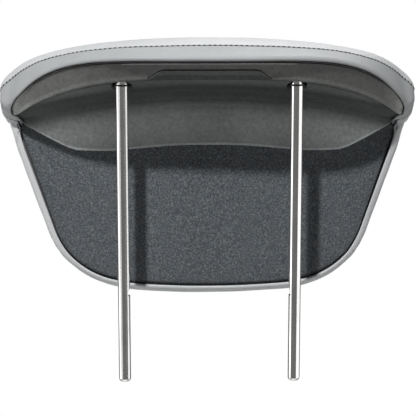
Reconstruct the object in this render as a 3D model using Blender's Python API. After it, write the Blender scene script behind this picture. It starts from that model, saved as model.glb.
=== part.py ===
"""Car headrest: a padded saddle-shaped head restraint on one bent chrome rod.

Metres, +Z up along the posts, +Y towards the head side, +X to the right seen from behind.
The origin lies midway between the two post axes, where they leave the underside.

The pad is described by its outline in XZ and, at each station along X, by a YZ polygon whose edges are
the rear shell, the underside, the flap's lining, the flap's lower edge, the head side and the crown.
Every cover, board and foam is an inset of that same polygon, so they nest whatever the size.
"""

import math

import bmesh
import bpy

# Outline of the pad, seen from behind
HALF_WIDTH = 0.1755
EAR_Z = -0.016
CROWN_RISE = 0.054
CROWN_POWER = 0.4
EAR_DEPTH = 0.023
EAR_ROUND = 0.0105
WAIST_X_INSET = 0.0085
WAIST_Z = -0.039
FLAP_BOTTOM_Z = -0.1845
FLAP_LEAN = math.radians(18.5)
FLAP_CORNER_RADIUS = 0.075

# Depth of the pad: place at the middle of its width and forward sweep at the tips
UNDERSIDE_SLOPE = math.tan(math.radians(29.0))
GAP_Y, GAP_SWEEP, GAP_POWER = -0.027, 0.0876, 2.9
GAP_Z, GAP_DROP, GAP_DROP_POWER = 0.0228, 0.0598, 5.0
REAR_EDGE_Y, REAR_EDGE_SWEEP, REAR_EDGE_POWER = -0.016, 0.090, 3.25
RIDGE_Y, RIDGE_SWEEP, RIDGE_POWER = 0.0086, 0.0789, 2.5
RIDGE_CLEARANCE = 0.0032
SEAM_Y, SEAM_SWEEP, SEAM_POWER = -0.008, 0.0844, 3.0
CROWN_Y, CROWN_SWEEP = 0.025, 0.045
LINING_Y, LINING_SWEEP = 0.048, 0.0204
SKIRT_Y, SKIRT_SWEEP = 0.034, 0.0378
HEAD_SIDE_TOP_Y = 0.080
HEAD_SIDE_BOTTOM_Y = 0.070
HEAD_SIDE_CROWN = 0.004
HEAD_SIDE_SWEEP = 0.019
TIP_Y = 0.071
TIP_SHARE = 0.94
ROUND_START = 0.883

# Lower edge of the inner cover's skirt
SKIRT_Z = -0.053
SKIRT_BELLY = 0.0067
SKIRT_BELLY_SHARE = 0.56
SKIRT_BELLY_POWER = 1.4
SKIRT_RISE = 0.090
SKIRT_RISE_SHARE = 0.62
SKIRT_RISE_BLEND = 0.05
SKIRT_TIP_SHARE = 0.893
COVE_RADIUS = 0.025

# Soft walls
LEATHER = 0.0025
EDGING = 0.005
FOLD_ROLL = 0.0015
EDGE_ROLL_BACK = 0.005
EDGE_ROLL_FRONT = 0.012
SHOULDER_ROLL = 0.030
LINING = 0.0022
FOAM_LEAST = 0.010
BOARD = 0.0025
HEM_BOTTOM_Z = -0.0405
HEM_DROP = 0.0023
HEM_FALL = 0.010
HEM_TIP_SHARE = 0.895

# Hard walls
SHELL_WALL = 0.0022
SHELL_RETURN = 0.0018
RIM_ROLL = 0.0032
TIP_ROUNDING = 0.0035
SHELL_TIP_SHARE = 0.938
LIP_HEIGHT = 0.0026
LIP_REACH = 0.0012
TIP_FADE = 0.006
NOTCH_HALF_WIDTH = 0.0497
NOTCH_RAMP = 0.0125
NOTCH_HEIGHT = 0.0085
FLANGE_HEIGHT = 0.0125
LEDGE_LEAST = 0.0012
SKIRT_LEAST = 0.004
SKIRT_RETURN_FALL = 0.1

# Bent rod
POST_SPACING = 0.141
POST_RADIUS = 0.005
POST_TIP_Z = -0.247
POST_TIP_ROUND = 0.0025
CROSSBAR_Z = 0.017
BEND_RADIUS = 0.014
STOP_SHOULDER_Z = -0.1734
STOP_RAMP = 0.0095
STOP_DEPTH = 0.0015
POST_HOLE_RADIUS = 0.0085
COLLAR_WALL = 0.0008
COLLAR_HEIGHT = 0.0012
COLLAR_Z = 0.0004
RECESS_Z = 0.0075

# Carrier with its saddles and screws
CARRIER_HALF_LENGTH = 0.092
CARRIER_TOP_Z = 0.020
CARRIER_FRONT_REACH = 0.016
POCKET_LENGTH = 0.014
POCKET_PITCH = 0.0175
POCKET_COUNT = 5
POCKET_WIDTH = 0.012
POCKET_FLOOR = 0.003
SADDLE_X = 0.034
SADDLE_LENGTH = 0.016
SADDLE_WALL = 0.003
SADDLE_FOOT = 0.009
SCREW_RADIUS = 0.002
SCREW_HEAD_RADIUS = 0.0036
SCREW_HEAD_HEIGHT = 0.0022
SCREW_LENGTH = 0.009

# Strip sewn to the band's lower hem
STRIP_WIDTH = 0.008
STRIP_WALL = 0.0015
STRIP_START = 0.0018
STRIP_TIP_SHARE = 0.90

# Running and seating clearances
GAP = 0.0003
SLIP = 0.0004
HALF_SEAM = 0.00015
FOAM_SLIP = 0.0005

STATIONS = 32
ROD_SIDES = 20
FAR = 0.3

LEATHER_GREY = (0.62, 0.63, 0.64)
FABRIC_GREY = (0.075, 0.080, 0.092)
SHELL_GREY = (0.115, 0.115, 0.118)
COVER_GREY = (0.070, 0.072, 0.074)
CHROME = (0.80, 0.80, 0.80)
FOAM_YELLOW = (0.80, 0.74, 0.52)
BOARD_BROWN = (0.30, 0.22, 0.14)
CARRIER_BLACK = (0.030, 0.030, 0.032)
STEEL = (0.55, 0.55, 0.56)
STRIP_WHITE = (0.72, 0.72, 0.70)


def material(name, colour, roughness, metallic=0.0):
    """One Principled material with a plain colour."""
    made = bpy.data.materials.new(name)
    made.use_nodes = True
    shader = made.node_tree.nodes["Principled BSDF"]
    shader.inputs["Base Color"].default_value = (*colour, 1.0)
    shader.inputs["Roughness"].default_value = roughness
    shader.inputs["Metallic"].default_value = metallic
    return made


def add_object(name, mesh, finish, smooth=math.radians(35.0)):
    """Link a mesh as a named object with smooth shading up to an edge angle."""
    made = bpy.data.objects.new(name, mesh)
    bpy.context.scene.collection.objects.link(made)
    mesh.materials.clear()
    mesh.materials.append(finish)
    mesh.shade_smooth()
    mesh.set_sharp_from_angle(angle=smooth)
    return made


def mesh_from(bm, name):
    """Turn a bmesh into a mesh with its faces pointing outwards."""
    bmesh.ops.recalc_face_normals(bm, faces=bm.faces)
    mesh = bpy.data.meshes.new(name)
    bm.to_mesh(mesh)
    bm.free()
    return mesh


def loft(name, sections):
    """Close a body through sections, each an X and a YZ loop of one common length."""
    bm = bmesh.new()
    rings = [[bm.verts.new((x, y, z)) for y, z in loop] for x, loop in sections]
    for (x, _), near, far in zip(sections, rings, rings[1:]):
        for i in range(len(near)):
            j = (i + 1) % len(near)
            if x < 0.0:
                bm.faces.new((near[i], near[j], far[j]))
                bm.faces.new((near[i], far[j], far[i]))
            else:
                bm.faces.new((near[i], near[j], far[i]))
                bm.faces.new((near[j], far[j], far[i]))
    bm.faces.new(rings[0])
    bm.faces.new(rings[-1])
    return mesh_from(bm, name)


def prism(name, outline, low, high):
    """Extrude an XY outline along Z."""
    bm = bmesh.new()
    floor = [bm.verts.new((x, y, low)) for x, y in outline]
    roof = [bm.verts.new((x, y, high)) for x, y in outline]
    for i in range(len(outline)):
        j = (i + 1) % len(outline)
        bm.faces.new((floor[i], floor[j], roof[j], roof[i]))
    bm.faces.new(floor)
    bm.faces.new(roof)
    return mesh_from(bm, name)


def box(name, low, high):
    """Axis-aligned box between two corners."""
    outline = [(low[0], low[1]), (high[0], low[1]), (high[0], high[1]), (low[0], high[1])]
    return prism(name, outline, low[2], high[2])


def turned(name, centre, profile, sides):
    """Revolve a profile of (radius, height) about a vertical axis through centre."""
    bm = bmesh.new()
    rings = []
    for radius, height in profile:
        ring = []
        for i in range(sides):
            angle = 2.0 * math.pi * i / sides
            ring.append(
                bm.verts.new(
                    (centre[0] + radius * math.cos(angle), centre[1] + radius * math.sin(angle), height)
                )
            )
        rings.append(ring)
    closed = profile[0] == profile[-1]
    if closed:
        for vertex in rings.pop():
            bm.verts.remove(vertex)
        rings.append(rings[0])
    for near, far in zip(rings, rings[1:]):
        for i in range(sides):
            j = (i + 1) % sides
            bm.faces.new((near[i], near[j], far[j], far[i]))
    if not closed:
        bm.faces.new(rings[0])
        bm.faces.new(rings[-1])
    return mesh_from(bm, name)


def cut(target, mesh, operation="DIFFERENCE"):
    """Apply one exact Boolean to an object with a temporary cutter."""
    cutter = bpy.data.objects.new("cutter", mesh)
    bpy.context.scene.collection.objects.link(cutter)
    cutter.hide_render = True
    cutter.display_type = "WIRE"
    modifier = target.modifiers.new("cut", "BOOLEAN")
    modifier.operation = operation
    modifier.solver = "EXACT"
    modifier.object = cutter
    graph = bpy.context.evaluated_depsgraph_get()
    result = bpy.data.meshes.new_from_object(target.evaluated_get(graph))
    target.modifiers.clear()
    finish = target.data.materials[0]
    target.data = result
    result.materials.clear()
    result.materials.append(finish)
    bpy.data.objects.remove(cutter)


def rounded(corners):
    """Round a YZ polygon: a corner is (y, z, reach before, reach after, steps)."""
    loop = []
    count = len(corners)
    for i, (y, z, before, after, steps) in enumerate(corners):
        if steps == 0:
            loop.append((y, z))
            continue
        back, ahead = corners[i - 1], corners[(i + 1) % count]
        to_back = (back[0] - y, back[1] - z)
        to_ahead = (ahead[0] - y, ahead[1] - z)
        back_length, ahead_length = math.hypot(*to_back), math.hypot(*to_ahead)
        share_back = min(before / back_length, 0.47)
        share_ahead = min(after / ahead_length, 0.47)
        for step in range(steps + 1):
            angle = 0.5 * math.pi * step / steps
            a = share_back * (1.0 - math.sin(angle))
            b = share_ahead * (1.0 - math.cos(angle))
            loop.append((y + to_back[0] * a + to_ahead[0] * b, z + to_back[1] * a + to_ahead[1] * b))
    return loop


def meet(a, b, c, d):
    """Point where the line through a and b meets the line through c and d."""
    r = (b[0] - a[0], b[1] - a[1])
    s = (d[0] - c[0], d[1] - c[1])
    cross = r[0] * s[1] - r[1] * s[0]
    if abs(cross) < 1e-9:
        return b
    t = ((c[0] - a[0]) * s[1] - (c[1] - a[1]) * s[0]) / cross
    return (a[0] + r[0] * t, a[1] + r[1] * t)


def left_of(a, b, distance):
    """The edge from a to b moved to its left."""
    length = math.hypot(b[0] - a[0], b[1] - a[1])
    n = (-(b[1] - a[1]) / length * distance, (b[0] - a[0]) / length * distance)
    return (a[0] + n[0], a[1] + n[1]), (b[0] + n[0], b[1] + n[1])


def inset_polygon(points, distance):
    """Move every edge of an anticlockwise polygon inwards."""
    moved = [left_of(points[i], points[(i + 1) % len(points)], distance) for i in range(len(points))]
    return [meet(*moved[i - 1], *moved[i]) for i in range(len(points))]


def offset_path(path, distance):
    """Move an open path to its left, with mitred corners."""
    moved = [left_of(a, b, distance) for a, b in zip(path, path[1:])]
    inner = [meet(*a, *b) for a, b in zip(moved, moved[1:])]
    return [moved[0][0], *inner, moved[-1][1]]


def wall(path, thickness, reaches, steps):
    """Closed outline of a wall whose outer face follows an open path, with rounded bends."""
    inner = offset_path(path, thickness)
    corners = []
    for point, reach, count in zip(path, reaches, steps):
        corners.append((*point, reach, reach, count))
    for i in reversed(range(len(path))):
        reach = 0.0
        if 0 < i < len(path) - 1:
            a, b, c = path[i - 1], path[i], path[i + 1]
            turn = (b[0] - a[0]) * (c[1] - b[1]) - (b[1] - a[1]) * (c[0] - b[0])
            reach = max(reaches[i] - math.copysign(thickness, turn), 0.3 * thickness)
        corners.append((*inner[i], reach, reach, steps[i]))
    return rounded(corners)


def swept(start, sweep, power, u):
    """A depth that starts at the middle and sweeps forward towards the tip."""
    return start + sweep * min(u / HALF_WIDTH, TIP_SHARE) ** power


def top_z(u, inset=0.0):
    """Height of the crown at distance u from the middle."""
    share = min(u / (HALF_WIDTH - inset), 1.0)
    return EAR_Z + (CROWN_RISE - inset) * (1.0 - share**2) ** CROWN_POWER


def flap_z(u, inset=0.0):
    """Height of the flap's lower edge: level, a round corner, then a leaning side."""
    sine, cosine = math.sin(FLAP_LEAN), math.cos(FLAP_LEAN)
    centre_z = FLAP_BOTTOM_Z + FLAP_CORNER_RADIUS
    waist_x = HALF_WIDTH - WAIST_X_INSET
    centre_x = waist_x - (FLAP_CORNER_RADIUS + (WAIST_Z - centre_z) * sine) / cosine
    radius = FLAP_CORNER_RADIUS - inset
    if u <= centre_x:
        return centre_z - radius
    if u <= centre_x + radius * cosine:
        return centre_z - math.sqrt(radius**2 - (u - centre_x) ** 2)
    return centre_z - radius * sine + (u - centre_x - radius * cosine) * cosine / sine


def ear_z(u, inset=0.0):
    """Height of the ear's lower edge."""
    start = HALF_WIDTH - EAR_ROUND
    share = min(max((u - start) / (EAR_ROUND - inset), 0.0), 1.0)
    return EAR_Z - (EAR_DEPTH - inset) * math.sqrt(1.0 - share**2)


def bottom_z(u, inset=0.0):
    """Height of the pad's lowest edge at distance u from the middle."""
    return min(flap_z(u, inset), ear_z(u, inset))


def edge_stretch(u, inset):
    """How much longer a roll of the lower edge is along Z than across the edge."""
    step = 0.002
    rise = (bottom_z(u + step, inset) - bottom_z(u - step, inset)) / (2.0 * step)
    return min(math.sqrt(1.0 + rise**2), 3.2)


def closing(u, inset=0.0):
    """Share of the depth that is left as the ear rounds off."""
    start = ROUND_START * HALF_WIDTH
    share = min(max((u - start) / (HALF_WIDTH - inset - start), 0.0), 1.0)
    return math.sqrt(1.0 - share**2)


def closed_y(y, u, inset=0.0):
    """A depth drawn in towards the ear's tip."""
    return TIP_Y + (y - TIP_Y) * closing(u, inset)


def closed_z(z, u, inset=0.0):
    """A height below the ear line drawn in towards the ear's tip."""
    start = HALF_WIDTH - EAR_ROUND
    if u <= start:
        return z
    share = (ear_z(u, inset) - inset - EAR_Z) / (-EAR_DEPTH)
    return EAR_Z + (z - EAR_Z) * share


def lining_y(u):
    """Depth of the flap's lined side."""
    return swept(LINING_Y, LINING_SWEEP, 2.0, u)


def gap_point(u):
    """Upper edge of the rear shell."""
    z = swept(GAP_Z, -GAP_DROP, GAP_DROP_POWER, u)
    return (swept(GAP_Y, GAP_SWEEP, GAP_POWER, u), z)


def rear_edge_point(u):
    """Lower edge of the rear shell, where the underside starts."""
    y = swept(REAR_EDGE_Y, REAR_EDGE_SWEEP, REAR_EDGE_POWER, u)
    return (y, -UNDERSIDE_SLOPE * y)


def ridge_point(u):
    """Ridge where the underside ends and the cove starts; it stops short of the lining."""
    y = min(swept(RIDGE_Y, RIDGE_SWEEP, RIDGE_POWER, u), lining_y(u) - RIDGE_CLEARANCE)
    return (y, -UNDERSIDE_SLOPE * y)


def skirt_point(u):
    """Lower edge of the inner cover's skirt."""
    share = u / HALF_WIDTH
    belly = 0.5 - 0.5 * math.cos(math.pi * min(share / SKIRT_BELLY_SHARE, 1.0))
    z = SKIRT_Z - SKIRT_BELLY * belly**SKIRT_BELLY_POWER
    if share > SKIRT_RISE_SHARE:
        z += SKIRT_RISE * (math.hypot(share - SKIRT_RISE_SHARE, SKIRT_RISE_BLEND) - SKIRT_RISE_BLEND)
    return (swept(SKIRT_Y, SKIRT_SWEEP, 2.0, u), z)


def fold_point(u):
    """Fold at the lower edge of the rear band, one leather thickness above the shell's upper edge."""
    top, low = gap_point(u), rear_edge_point(u)
    length = math.hypot(low[0] - top[0], low[1] - top[1])
    return tuple(a + (a - b) * LEATHER / length for a, b in zip(top, low))


def seam_share(u):
    """Height of the seam between the rear band's fold and the crown."""
    return 0.65 + 0.17 * (u / HALF_WIDTH) ** 4


def seam_y(u):
    """Depth of the sewn seam between the front cover and the rear band."""
    return SEAM_Y + SEAM_SWEEP * (u / HALF_WIDTH) ** SEAM_POWER


def pad_section(u, inset):
    """YZ loop of the pad, moved inwards by inset."""
    top = top_z(u, inset) + inset
    low = bottom_z(u, inset) - inset
    fold = fold_point(u)
    fold = (fold[0], closed_z(fold[1], u, inset))
    rear = rear_edge_point(u)
    rear = (rear[0], closed_z(rear[1], u, inset))
    inner_y = lining_y(u)
    inner = (inner_y, max(closed_z(-UNDERSIDE_SLOPE * inner_y, u, inset), low + 0.001))
    sweep = swept(0.0, HEAD_SIDE_SWEEP, 2.0, u)
    front_low = (HEAD_SIDE_BOTTOM_Y + sweep, low)
    front_high = (HEAD_SIDE_TOP_Y + sweep, top - 0.09 * (top - low) * (1.0 - 0.5 * u / HALF_WIDTH))
    middle = (
        0.5 * (front_low[0] + front_high[0]) + HEAD_SIDE_CROWN * closing(u, inset),
        0.5 * (front_low[1] + front_high[1]),
    )
    crown_y = swept(CROWN_Y, CROWN_SWEEP, 2.0, u)
    seam = (min(seam_y(u), crown_y - 0.006), fold[1] + (top - fold[1]) * seam_share(u))
    corners = [fold, rear, inner, (inner_y, low), front_low, middle, front_high, (crown_y, top), seam]
    moved = inset_polygon(corners, inset) if inset else corners
    fold, rear, inner, back_low, front_low, middle, front_high, crown, seam = moved
    stretch = edge_stretch(u, inset)
    back_roll = max(EDGE_ROLL_BACK - inset, 0.002)
    front_roll = max(EDGE_ROLL_FRONT - inset, 0.002)
    loop = rounded(
        [
            (*fold, FOLD_ROLL, FOLD_ROLL, 1),
            (*rear, 0.003, 0.003, 1),
            (*inner, COVE_RADIUS, COVE_RADIUS, 3),
            (*back_low, back_roll * stretch, back_roll, 2),
            (*front_low, front_roll, front_roll * stretch, 3),
            (*middle, 0.03, 0.03, 1),
            (*front_high, SHOULDER_ROLL, SHOULDER_ROLL, 4),
            (*crown, 0.014, 0.014, 2),
            (*seam, 0.006, 0.006, 1),
        ]
    )
    return [(closed_y(y, u, inset), z) for y, z in loop]


def pad_mesh(name, inset):
    """Closed body of the whole pad, moved inwards by inset."""
    sections = [(x, pad_section(abs(x), inset)) for x in stations((HALF_WIDTH - inset) * 0.9992)]
    return loft(name, sections)


def stations(tip, extra=()):
    """The pad's own stations out to a tip on each side, so that nested pieces share their chords."""
    inner = []
    for i in range(STATIONS + 1):
        x = HALF_WIDTH * math.sin(0.5 * math.pi * (2.0 * i / STATIONS - 1.0))
        if abs(x) < tip - 0.0008 and all(abs(abs(x) - u) > 0.0005 for u in extra):
            inner.append(x)
    return sorted([-tip, *(-u for u in extra), *inner, *extra, tip])


def along_shell(u, distance):
    """Point on the rear shell's face, a distance below its upper edge."""
    top, low = gap_point(u), rear_edge_point(u)
    length = math.hypot(low[0] - top[0], low[1] - top[1])
    return tuple(a + (b - a) * distance / length for a, b in zip(top, low))


def shell_height(u):
    """Width of the rear shell's face, measured down its slope."""
    top, low = gap_point(u), rear_edge_point(u)
    return math.hypot(low[0] - top[0], low[1] - top[1])


def into_pad(u):
    """Unit direction square to the rear shell's face, into the pad."""
    top, low = gap_point(u), rear_edge_point(u)
    a, b = left_of(top, low, 1.0)
    return (a[0] - top[0], a[1] - top[1])


def under_band(u):
    """Direction of the rear band's inner face where it leaves the rear shell's upper edge."""
    fold = fold_point(u)
    crown = top_z(u)
    run = min(seam_y(u), swept(CROWN_Y, CROWN_SWEEP, 2.0, u) - 0.006) - fold[0]
    angle = math.atan2((crown - fold[1]) * seam_share(u), run) + math.radians(2.0)
    return (math.cos(angle), math.sin(angle))


def window_upper():
    """Cutter for the opening that the rear shell and the inner cover close."""
    hem_tip = HEM_TIP_SHARE * HALF_WIDTH
    sections = []
    for x in stations(SHELL_TIP_SHARE * HALF_WIDTH + SLIP, (hem_tip, hem_tip + 0.0002)):
        u = abs(x)
        top, inwards = gap_point(u), under_band(u)
        floor = HEM_BOTTOM_Z - 0.007
        if u > hem_tip + 0.0001:
            floor = rear_edge_point(u)[1] - HEM_DROP
        inside_y = lining_y(u) + 0.006
        reach = LEATHER + 0.0012
        lip = (top[0] + inwards[0] * reach, top[1] + inwards[1] * reach)
        outside = (top[0] - inwards[0] * 0.02, top[1] - inwards[1] * 0.02)
        loop = [
            outside,
            (outside[0], min(floor, outside[1] - 0.002)),
            (inside_y, floor),
            (inside_y, lip[1]),
            lip,
        ]
        sections.append((x, [(closed_y(y, u), z) for y, z in loop]))
    return loft("window_upper", sections)


def window_lining():
    """Cutter for the opening that the flap's lining closes."""
    sections = []
    waist = HALF_WIDTH - WAIST_X_INSET
    half = waist - EDGING / math.cos(FLAP_LEAN) + (HEM_BOTTOM_Z - WAIST_Z) * math.tan(FLAP_LEAN)
    for x in stations(half - 0.0003):
        u = abs(x)
        low = flap_z(u, EDGING)
        inside_y = closed_y(lining_y(u) + 0.008, u)
        sections.append((x, [(-0.05, low), (inside_y, low), (inside_y, HEM_BOTTOM_Z), (-0.05, HEM_BOTTOM_Z)]))
    return loft("window_lining", sections)


def front_region(shift):
    """Everything on the head side of the seam; under the ears the seam leans forward to the hem."""
    outline = []
    for i in range(41):
        x = FAR * (2.0 * i / 40.0 - 1.0) * 0.65
        outline.append((x, min(seam_y(abs(x)), 0.12) + shift))
    outline += [(outline[-1][0], FAR), (outline[0][0], FAR)]
    guide = material("guide", STEEL, 0.5)
    region = add_object("front_region", prism("front_region", outline, -FAR, FAR), guide)
    for side in (-1.0, 1.0):
        sections = []
        for i in range(7):
            u = (HEM_TIP_SHARE - 0.03 + 0.025 * i) * HALF_WIDTH
            low = HEM_BOTTOM_Z - shift
            near = seam_y(u) + shift
            hem = max(lining_y(u) + LEATHER + 0.001 + shift, near)
            behind = near - 0.05
            loop = [(behind, EAR_Z), (behind, low), (hem, low), (hem, EAR_Z - HEM_FALL), (near, EAR_Z)]
            sections.append((side * u, loop))
        cut(region, loft("ear_wedge", sections))
    mesh = region.data
    bpy.data.objects.remove(region)
    return mesh


def make_covers(leather):
    """Front cover and rear band: one leather wall, opened at the back and parted at the seam."""
    covers = []
    for name, shift, operation in (
        ("front_cover", HALF_SEAM, "INTERSECT"),
        ("rear_band", -HALF_SEAM, "DIFFERENCE"),
    ):
        cover = add_object(name, pad_mesh(name, 0.0), leather)
        cut(cover, pad_mesh("hollow", LEATHER))
        cut(cover, window_upper())
        cut(cover, window_lining())
        cut(cover, front_region(shift), operation)
        cover.data.set_sharp_from_angle(angle=math.radians(35.0))
        covers.append(cover)
    return covers


def make_foam(finish):
    """Moulded foam that fills the cover around the carrier and in front of the flap board."""
    foam = add_object("foam_pad", pad_mesh("foam_pad", LEATHER + FOAM_SLIP), finish)
    sections = []
    for x in stations(SHELL_TIP_SHARE * HALF_WIDTH + 0.002):
        u = abs(x)
        ridge = ridge_point(u)
        roof = min(CROSSBAR_Z + POST_RADIUS + SADDLE_WALL + 3.0 * GAP, top_z(u) - FOAM_LEAST)
        floor = min(ridge[1] + 0.006, roof - 0.001)
        step_y = ridge[0] + CARRIER_FRONT_REACH + 0.001
        board_y = lining_y(u) + LEATHER + BOARD + 2.0 * GAP
        step_y = min(step_y, board_y - 0.001)
        behind = left_of(gap_point(u), rear_edge_point(u), 2.0 * SHELL_WALL + STRIP_WALL + SLIP)
        foot = meet(*behind, (-FAR, roof), (FAR, roof))
        head = meet(*behind, (-FAR, roof + 0.02), (FAR, roof + 0.02))
        loop = [head, (-FAR, head[1]), (-FAR, -FAR), (board_y, -FAR), (board_y, floor), (step_y, floor)]
        loop += [(step_y, roof), foot]
        sections.append((x, [(closed_y(y, u), z) for y, z in loop]))
    cut(foam, loft("core_room", sections))
    return foam


def make_lining(finish):
    """Woven lining on the back of the flap, tucked behind the inner cover's skirt."""
    waist = HALF_WIDTH - WAIST_X_INSET
    half = waist - (EDGING + SLIP) / math.cos(FLAP_LEAN) + (HEM_BOTTOM_Z - WAIST_Z) * math.tan(FLAP_LEAN)
    sections = []
    for x in stations(half - 0.0015):
        u = abs(x)
        low = flap_z(u, EDGING + SLIP)
        outer = closed_y(lining_y(u) + GAP, u)
        inner = outer + LINING
        roof = HEM_BOTTOM_Z - SLIP
        sections.append((x, [(outer, low), (inner, low), (inner, roof), (outer, roof)]))
    return add_object("flap_lining", loft("flap_lining", sections), finish)


def make_board(finish):
    """Stiff board behind the lining, under the leather's turned edge."""
    inset = LEATHER + EDGE_ROLL_BACK + 0.0015
    waist = HALF_WIDTH - WAIST_X_INSET
    half = waist - inset / math.cos(FLAP_LEAN) + (HEM_BOTTOM_Z - WAIST_Z) * math.tan(FLAP_LEAN)
    sections = []
    for x in stations(half):
        u = abs(x)
        low = min(flap_z(u, inset), HEM_BOTTOM_Z - 0.002)
        outer = closed_y(lining_y(u), u) + LEATHER + GAP
        roof = HEM_BOTTOM_Z - SLIP
        sections.append((x, [(outer, low), (outer + BOARD, low), (outer + BOARD, roof), (outer, roof)]))
    return add_object("flap_board", loft("flap_board", sections), finish)


def notch_lift(u):
    """How far the rear shell's lower edge is raised at the notch."""
    share = min(max((NOTCH_HALF_WIDTH - u) / NOTCH_RAMP, 0.0), 1.0)
    return NOTCH_HEIGHT * (0.5 - 0.5 * math.cos(math.pi * share))


def cover_tip():
    """Distance of the inner cover's ends from the middle."""
    return SKIRT_TIP_SHARE * HALF_WIDTH - 0.0005


def make_rear_shell(finish):
    """Hard rear shell: a curved face with a flared lower lip, notched in the middle."""
    sections = []
    tip = SHELL_TIP_SHARE * HALF_WIDTH
    slope = math.hypot(1.0, UNDERSIDE_SLOPE)
    ramp = [NOTCH_HALF_WIDTH - NOTCH_RAMP * share for share in (1.0, 0.75, 0.5, 0.25, 0.0)]
    for x in stations(tip, (*ramp[:-1], ramp[-1] - 0.0005, ramp[-1], cover_tip(), tip - 0.5 * TIP_FADE)):
        u = abs(x)
        height = shell_height(u)
        rounding = TIP_ROUNDING * max((u - (tip - TIP_FADE)) / TIP_FADE, 0.0) ** 2
        start = along_shell(u, 2.0 * SLIP + rounding)
        if u < NOTCH_HALF_WIDTH - 0.0002:
            end = height - notch_lift(u)
            flare, low, back = (along_shell(u, end - above) for above in (LIP_HEIGHT, 0.001, 0.0))
        else:
            end = height - rounding
            inwards = into_pad(u)
            lip = min(LIP_HEIGHT, 0.3 * end)
            reach = LIP_REACH * lip / LIP_HEIGHT
            flare, low = along_shell(u, end - lip), along_shell(u, end)
            low = (low[0] - inwards[0] * reach, low[1] - inwards[1] * reach)
            back = (low[0] + SHELL_RETURN / slope, low[1] - SHELL_RETURN * UNDERSIDE_SLOPE / slope)
        loop = wall([start, flare, low, back], SHELL_WALL, [0.0, 0.001, RIM_ROLL, 0.0], [0, 1, 3, 0])
        sections.append((x, [(closed_y(y, u), z) for y, z in loop]))
    return add_object("rear_shell", loft("rear_shell", sections), finish)


def cover_path(u):
    """Outer face of the inner cover, from its flange behind the shell to the lining."""
    depth = SHELL_WALL + 2.0 * SLIP
    inwards = into_pad(u)
    foot = rear_edge_point(u)
    height = shell_height(u)
    flange_top = along_shell(u, max(height - FLANGE_HEIGHT, 0.25 * height))
    flange_top = (flange_top[0] + inwards[0] * depth, flange_top[1] + inwards[1] * depth)
    shell_line = left_of(gap_point(u), foot, depth)
    ridge = ridge_point(u)
    rise = depth * math.hypot(1.0, UNDERSIDE_SLOPE)
    plane = ((foot[0], foot[1] + rise), (ridge[0], ridge[1] + rise))
    heel = meet(*shell_line, *plane)
    step_in = (heel[0] + SHELL_RETURN, heel[1] - SHELL_RETURN * UNDERSIDE_SLOPE)
    step_y = step_in[0] + LEDGE_LEAST
    step_out = (step_y, ridge[1] - UNDERSIDE_SLOPE * (step_y - ridge[0]))
    skirt = skirt_point(u)
    back_y = closed_y(lining_y(u), u) - SLIP
    skirt_y = min(max(skirt[0], ridge[0] + LEDGE_LEAST), back_y - LEDGE_LEAST)
    ledge = (skirt_y, ridge[1])
    hem = (skirt_y, min(skirt[1], ridge[1] - SKIRT_LEAST))
    back = (back_y, hem[1] - SKIRT_RETURN_FALL * (back_y - skirt_y))
    return [flange_top, heel, step_in, step_out, ridge, ledge, hem, back]


def make_inner_cover(finish):
    """Moulding round the posts: flange, sloped underside, ridge, cove and lens-shaped skirt."""
    sections = []
    corner = (SKIRT_RISE_SHARE + SKIRT_RISE_BLEND) * HALF_WIDTH
    for x in stations(cover_tip(), (corner,)):
        u = abs(x)
        path = cover_path(u)
        reaches = [0.0, 0.002, 0.0008, 0.0008, 0.0015, COVE_RADIUS, 0.002, 0.0]
        loop = wall(path, SHELL_WALL, reaches, [0, 1, 0, 0, 1, 5, 2, 0])
        sections.append((x, loop))
    cover = add_object("inner_cover", loft("inner_cover", sections), finish)
    for side in (-1.0, 1.0):
        hole = [(POST_HOLE_RADIUS, -0.012), (POST_HOLE_RADIUS, 0.018)]
        cut(cover, turned("hole", (side * POST_SPACING / 2.0, 0.0), hole, 32))
    cover.data.set_sharp_from_angle(angle=math.radians(35.0))
    return cover


def rod_mesh(name, radius, tip_z):
    """Bent rod in the XZ plane: two posts, two bends and the crossbar."""
    half = POST_SPACING / 2.0
    right = []
    for i in range(4):
        angle = 0.5 * math.pi * i / 3.0
        shrink = POST_TIP_ROUND * (1.0 - math.sin(angle))
        right.append((half, tip_z + POST_TIP_ROUND * (1.0 - math.cos(angle)), 0.0, radius - shrink))
    for i in range(9):
        angle = 0.5 * math.pi * i / 8.0
        x = half - BEND_RADIUS * (1.0 - math.cos(angle))
        right.append((x, CROSSBAR_Z - BEND_RADIUS * (1.0 - math.sin(angle)), angle, radius))
    left = [(-x, z, math.pi - angle, r) for x, z, angle, r in reversed(right)]
    bm = bmesh.new()
    loops = []
    for x, z, angle, r in right + left:
        loop = []
        for i in range(ROD_SIDES):
            turn = 2.0 * math.pi * i / ROD_SIDES
            out = r * math.cos(turn)
            point = (x + out * math.cos(angle), r * math.sin(turn), z + out * math.sin(angle))
            loop.append(bm.verts.new(point))
        loops.append(loop)
    for near, far in zip(loops, loops[1:]):
        for i in range(ROD_SIDES):
            j = (i + 1) % ROD_SIDES
            bm.faces.new((near[i], near[j], far[j], far[i]))
    bm.faces.new(loops[0])
    bm.faces.new(loops[-1])
    return mesh_from(bm, name)


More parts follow.
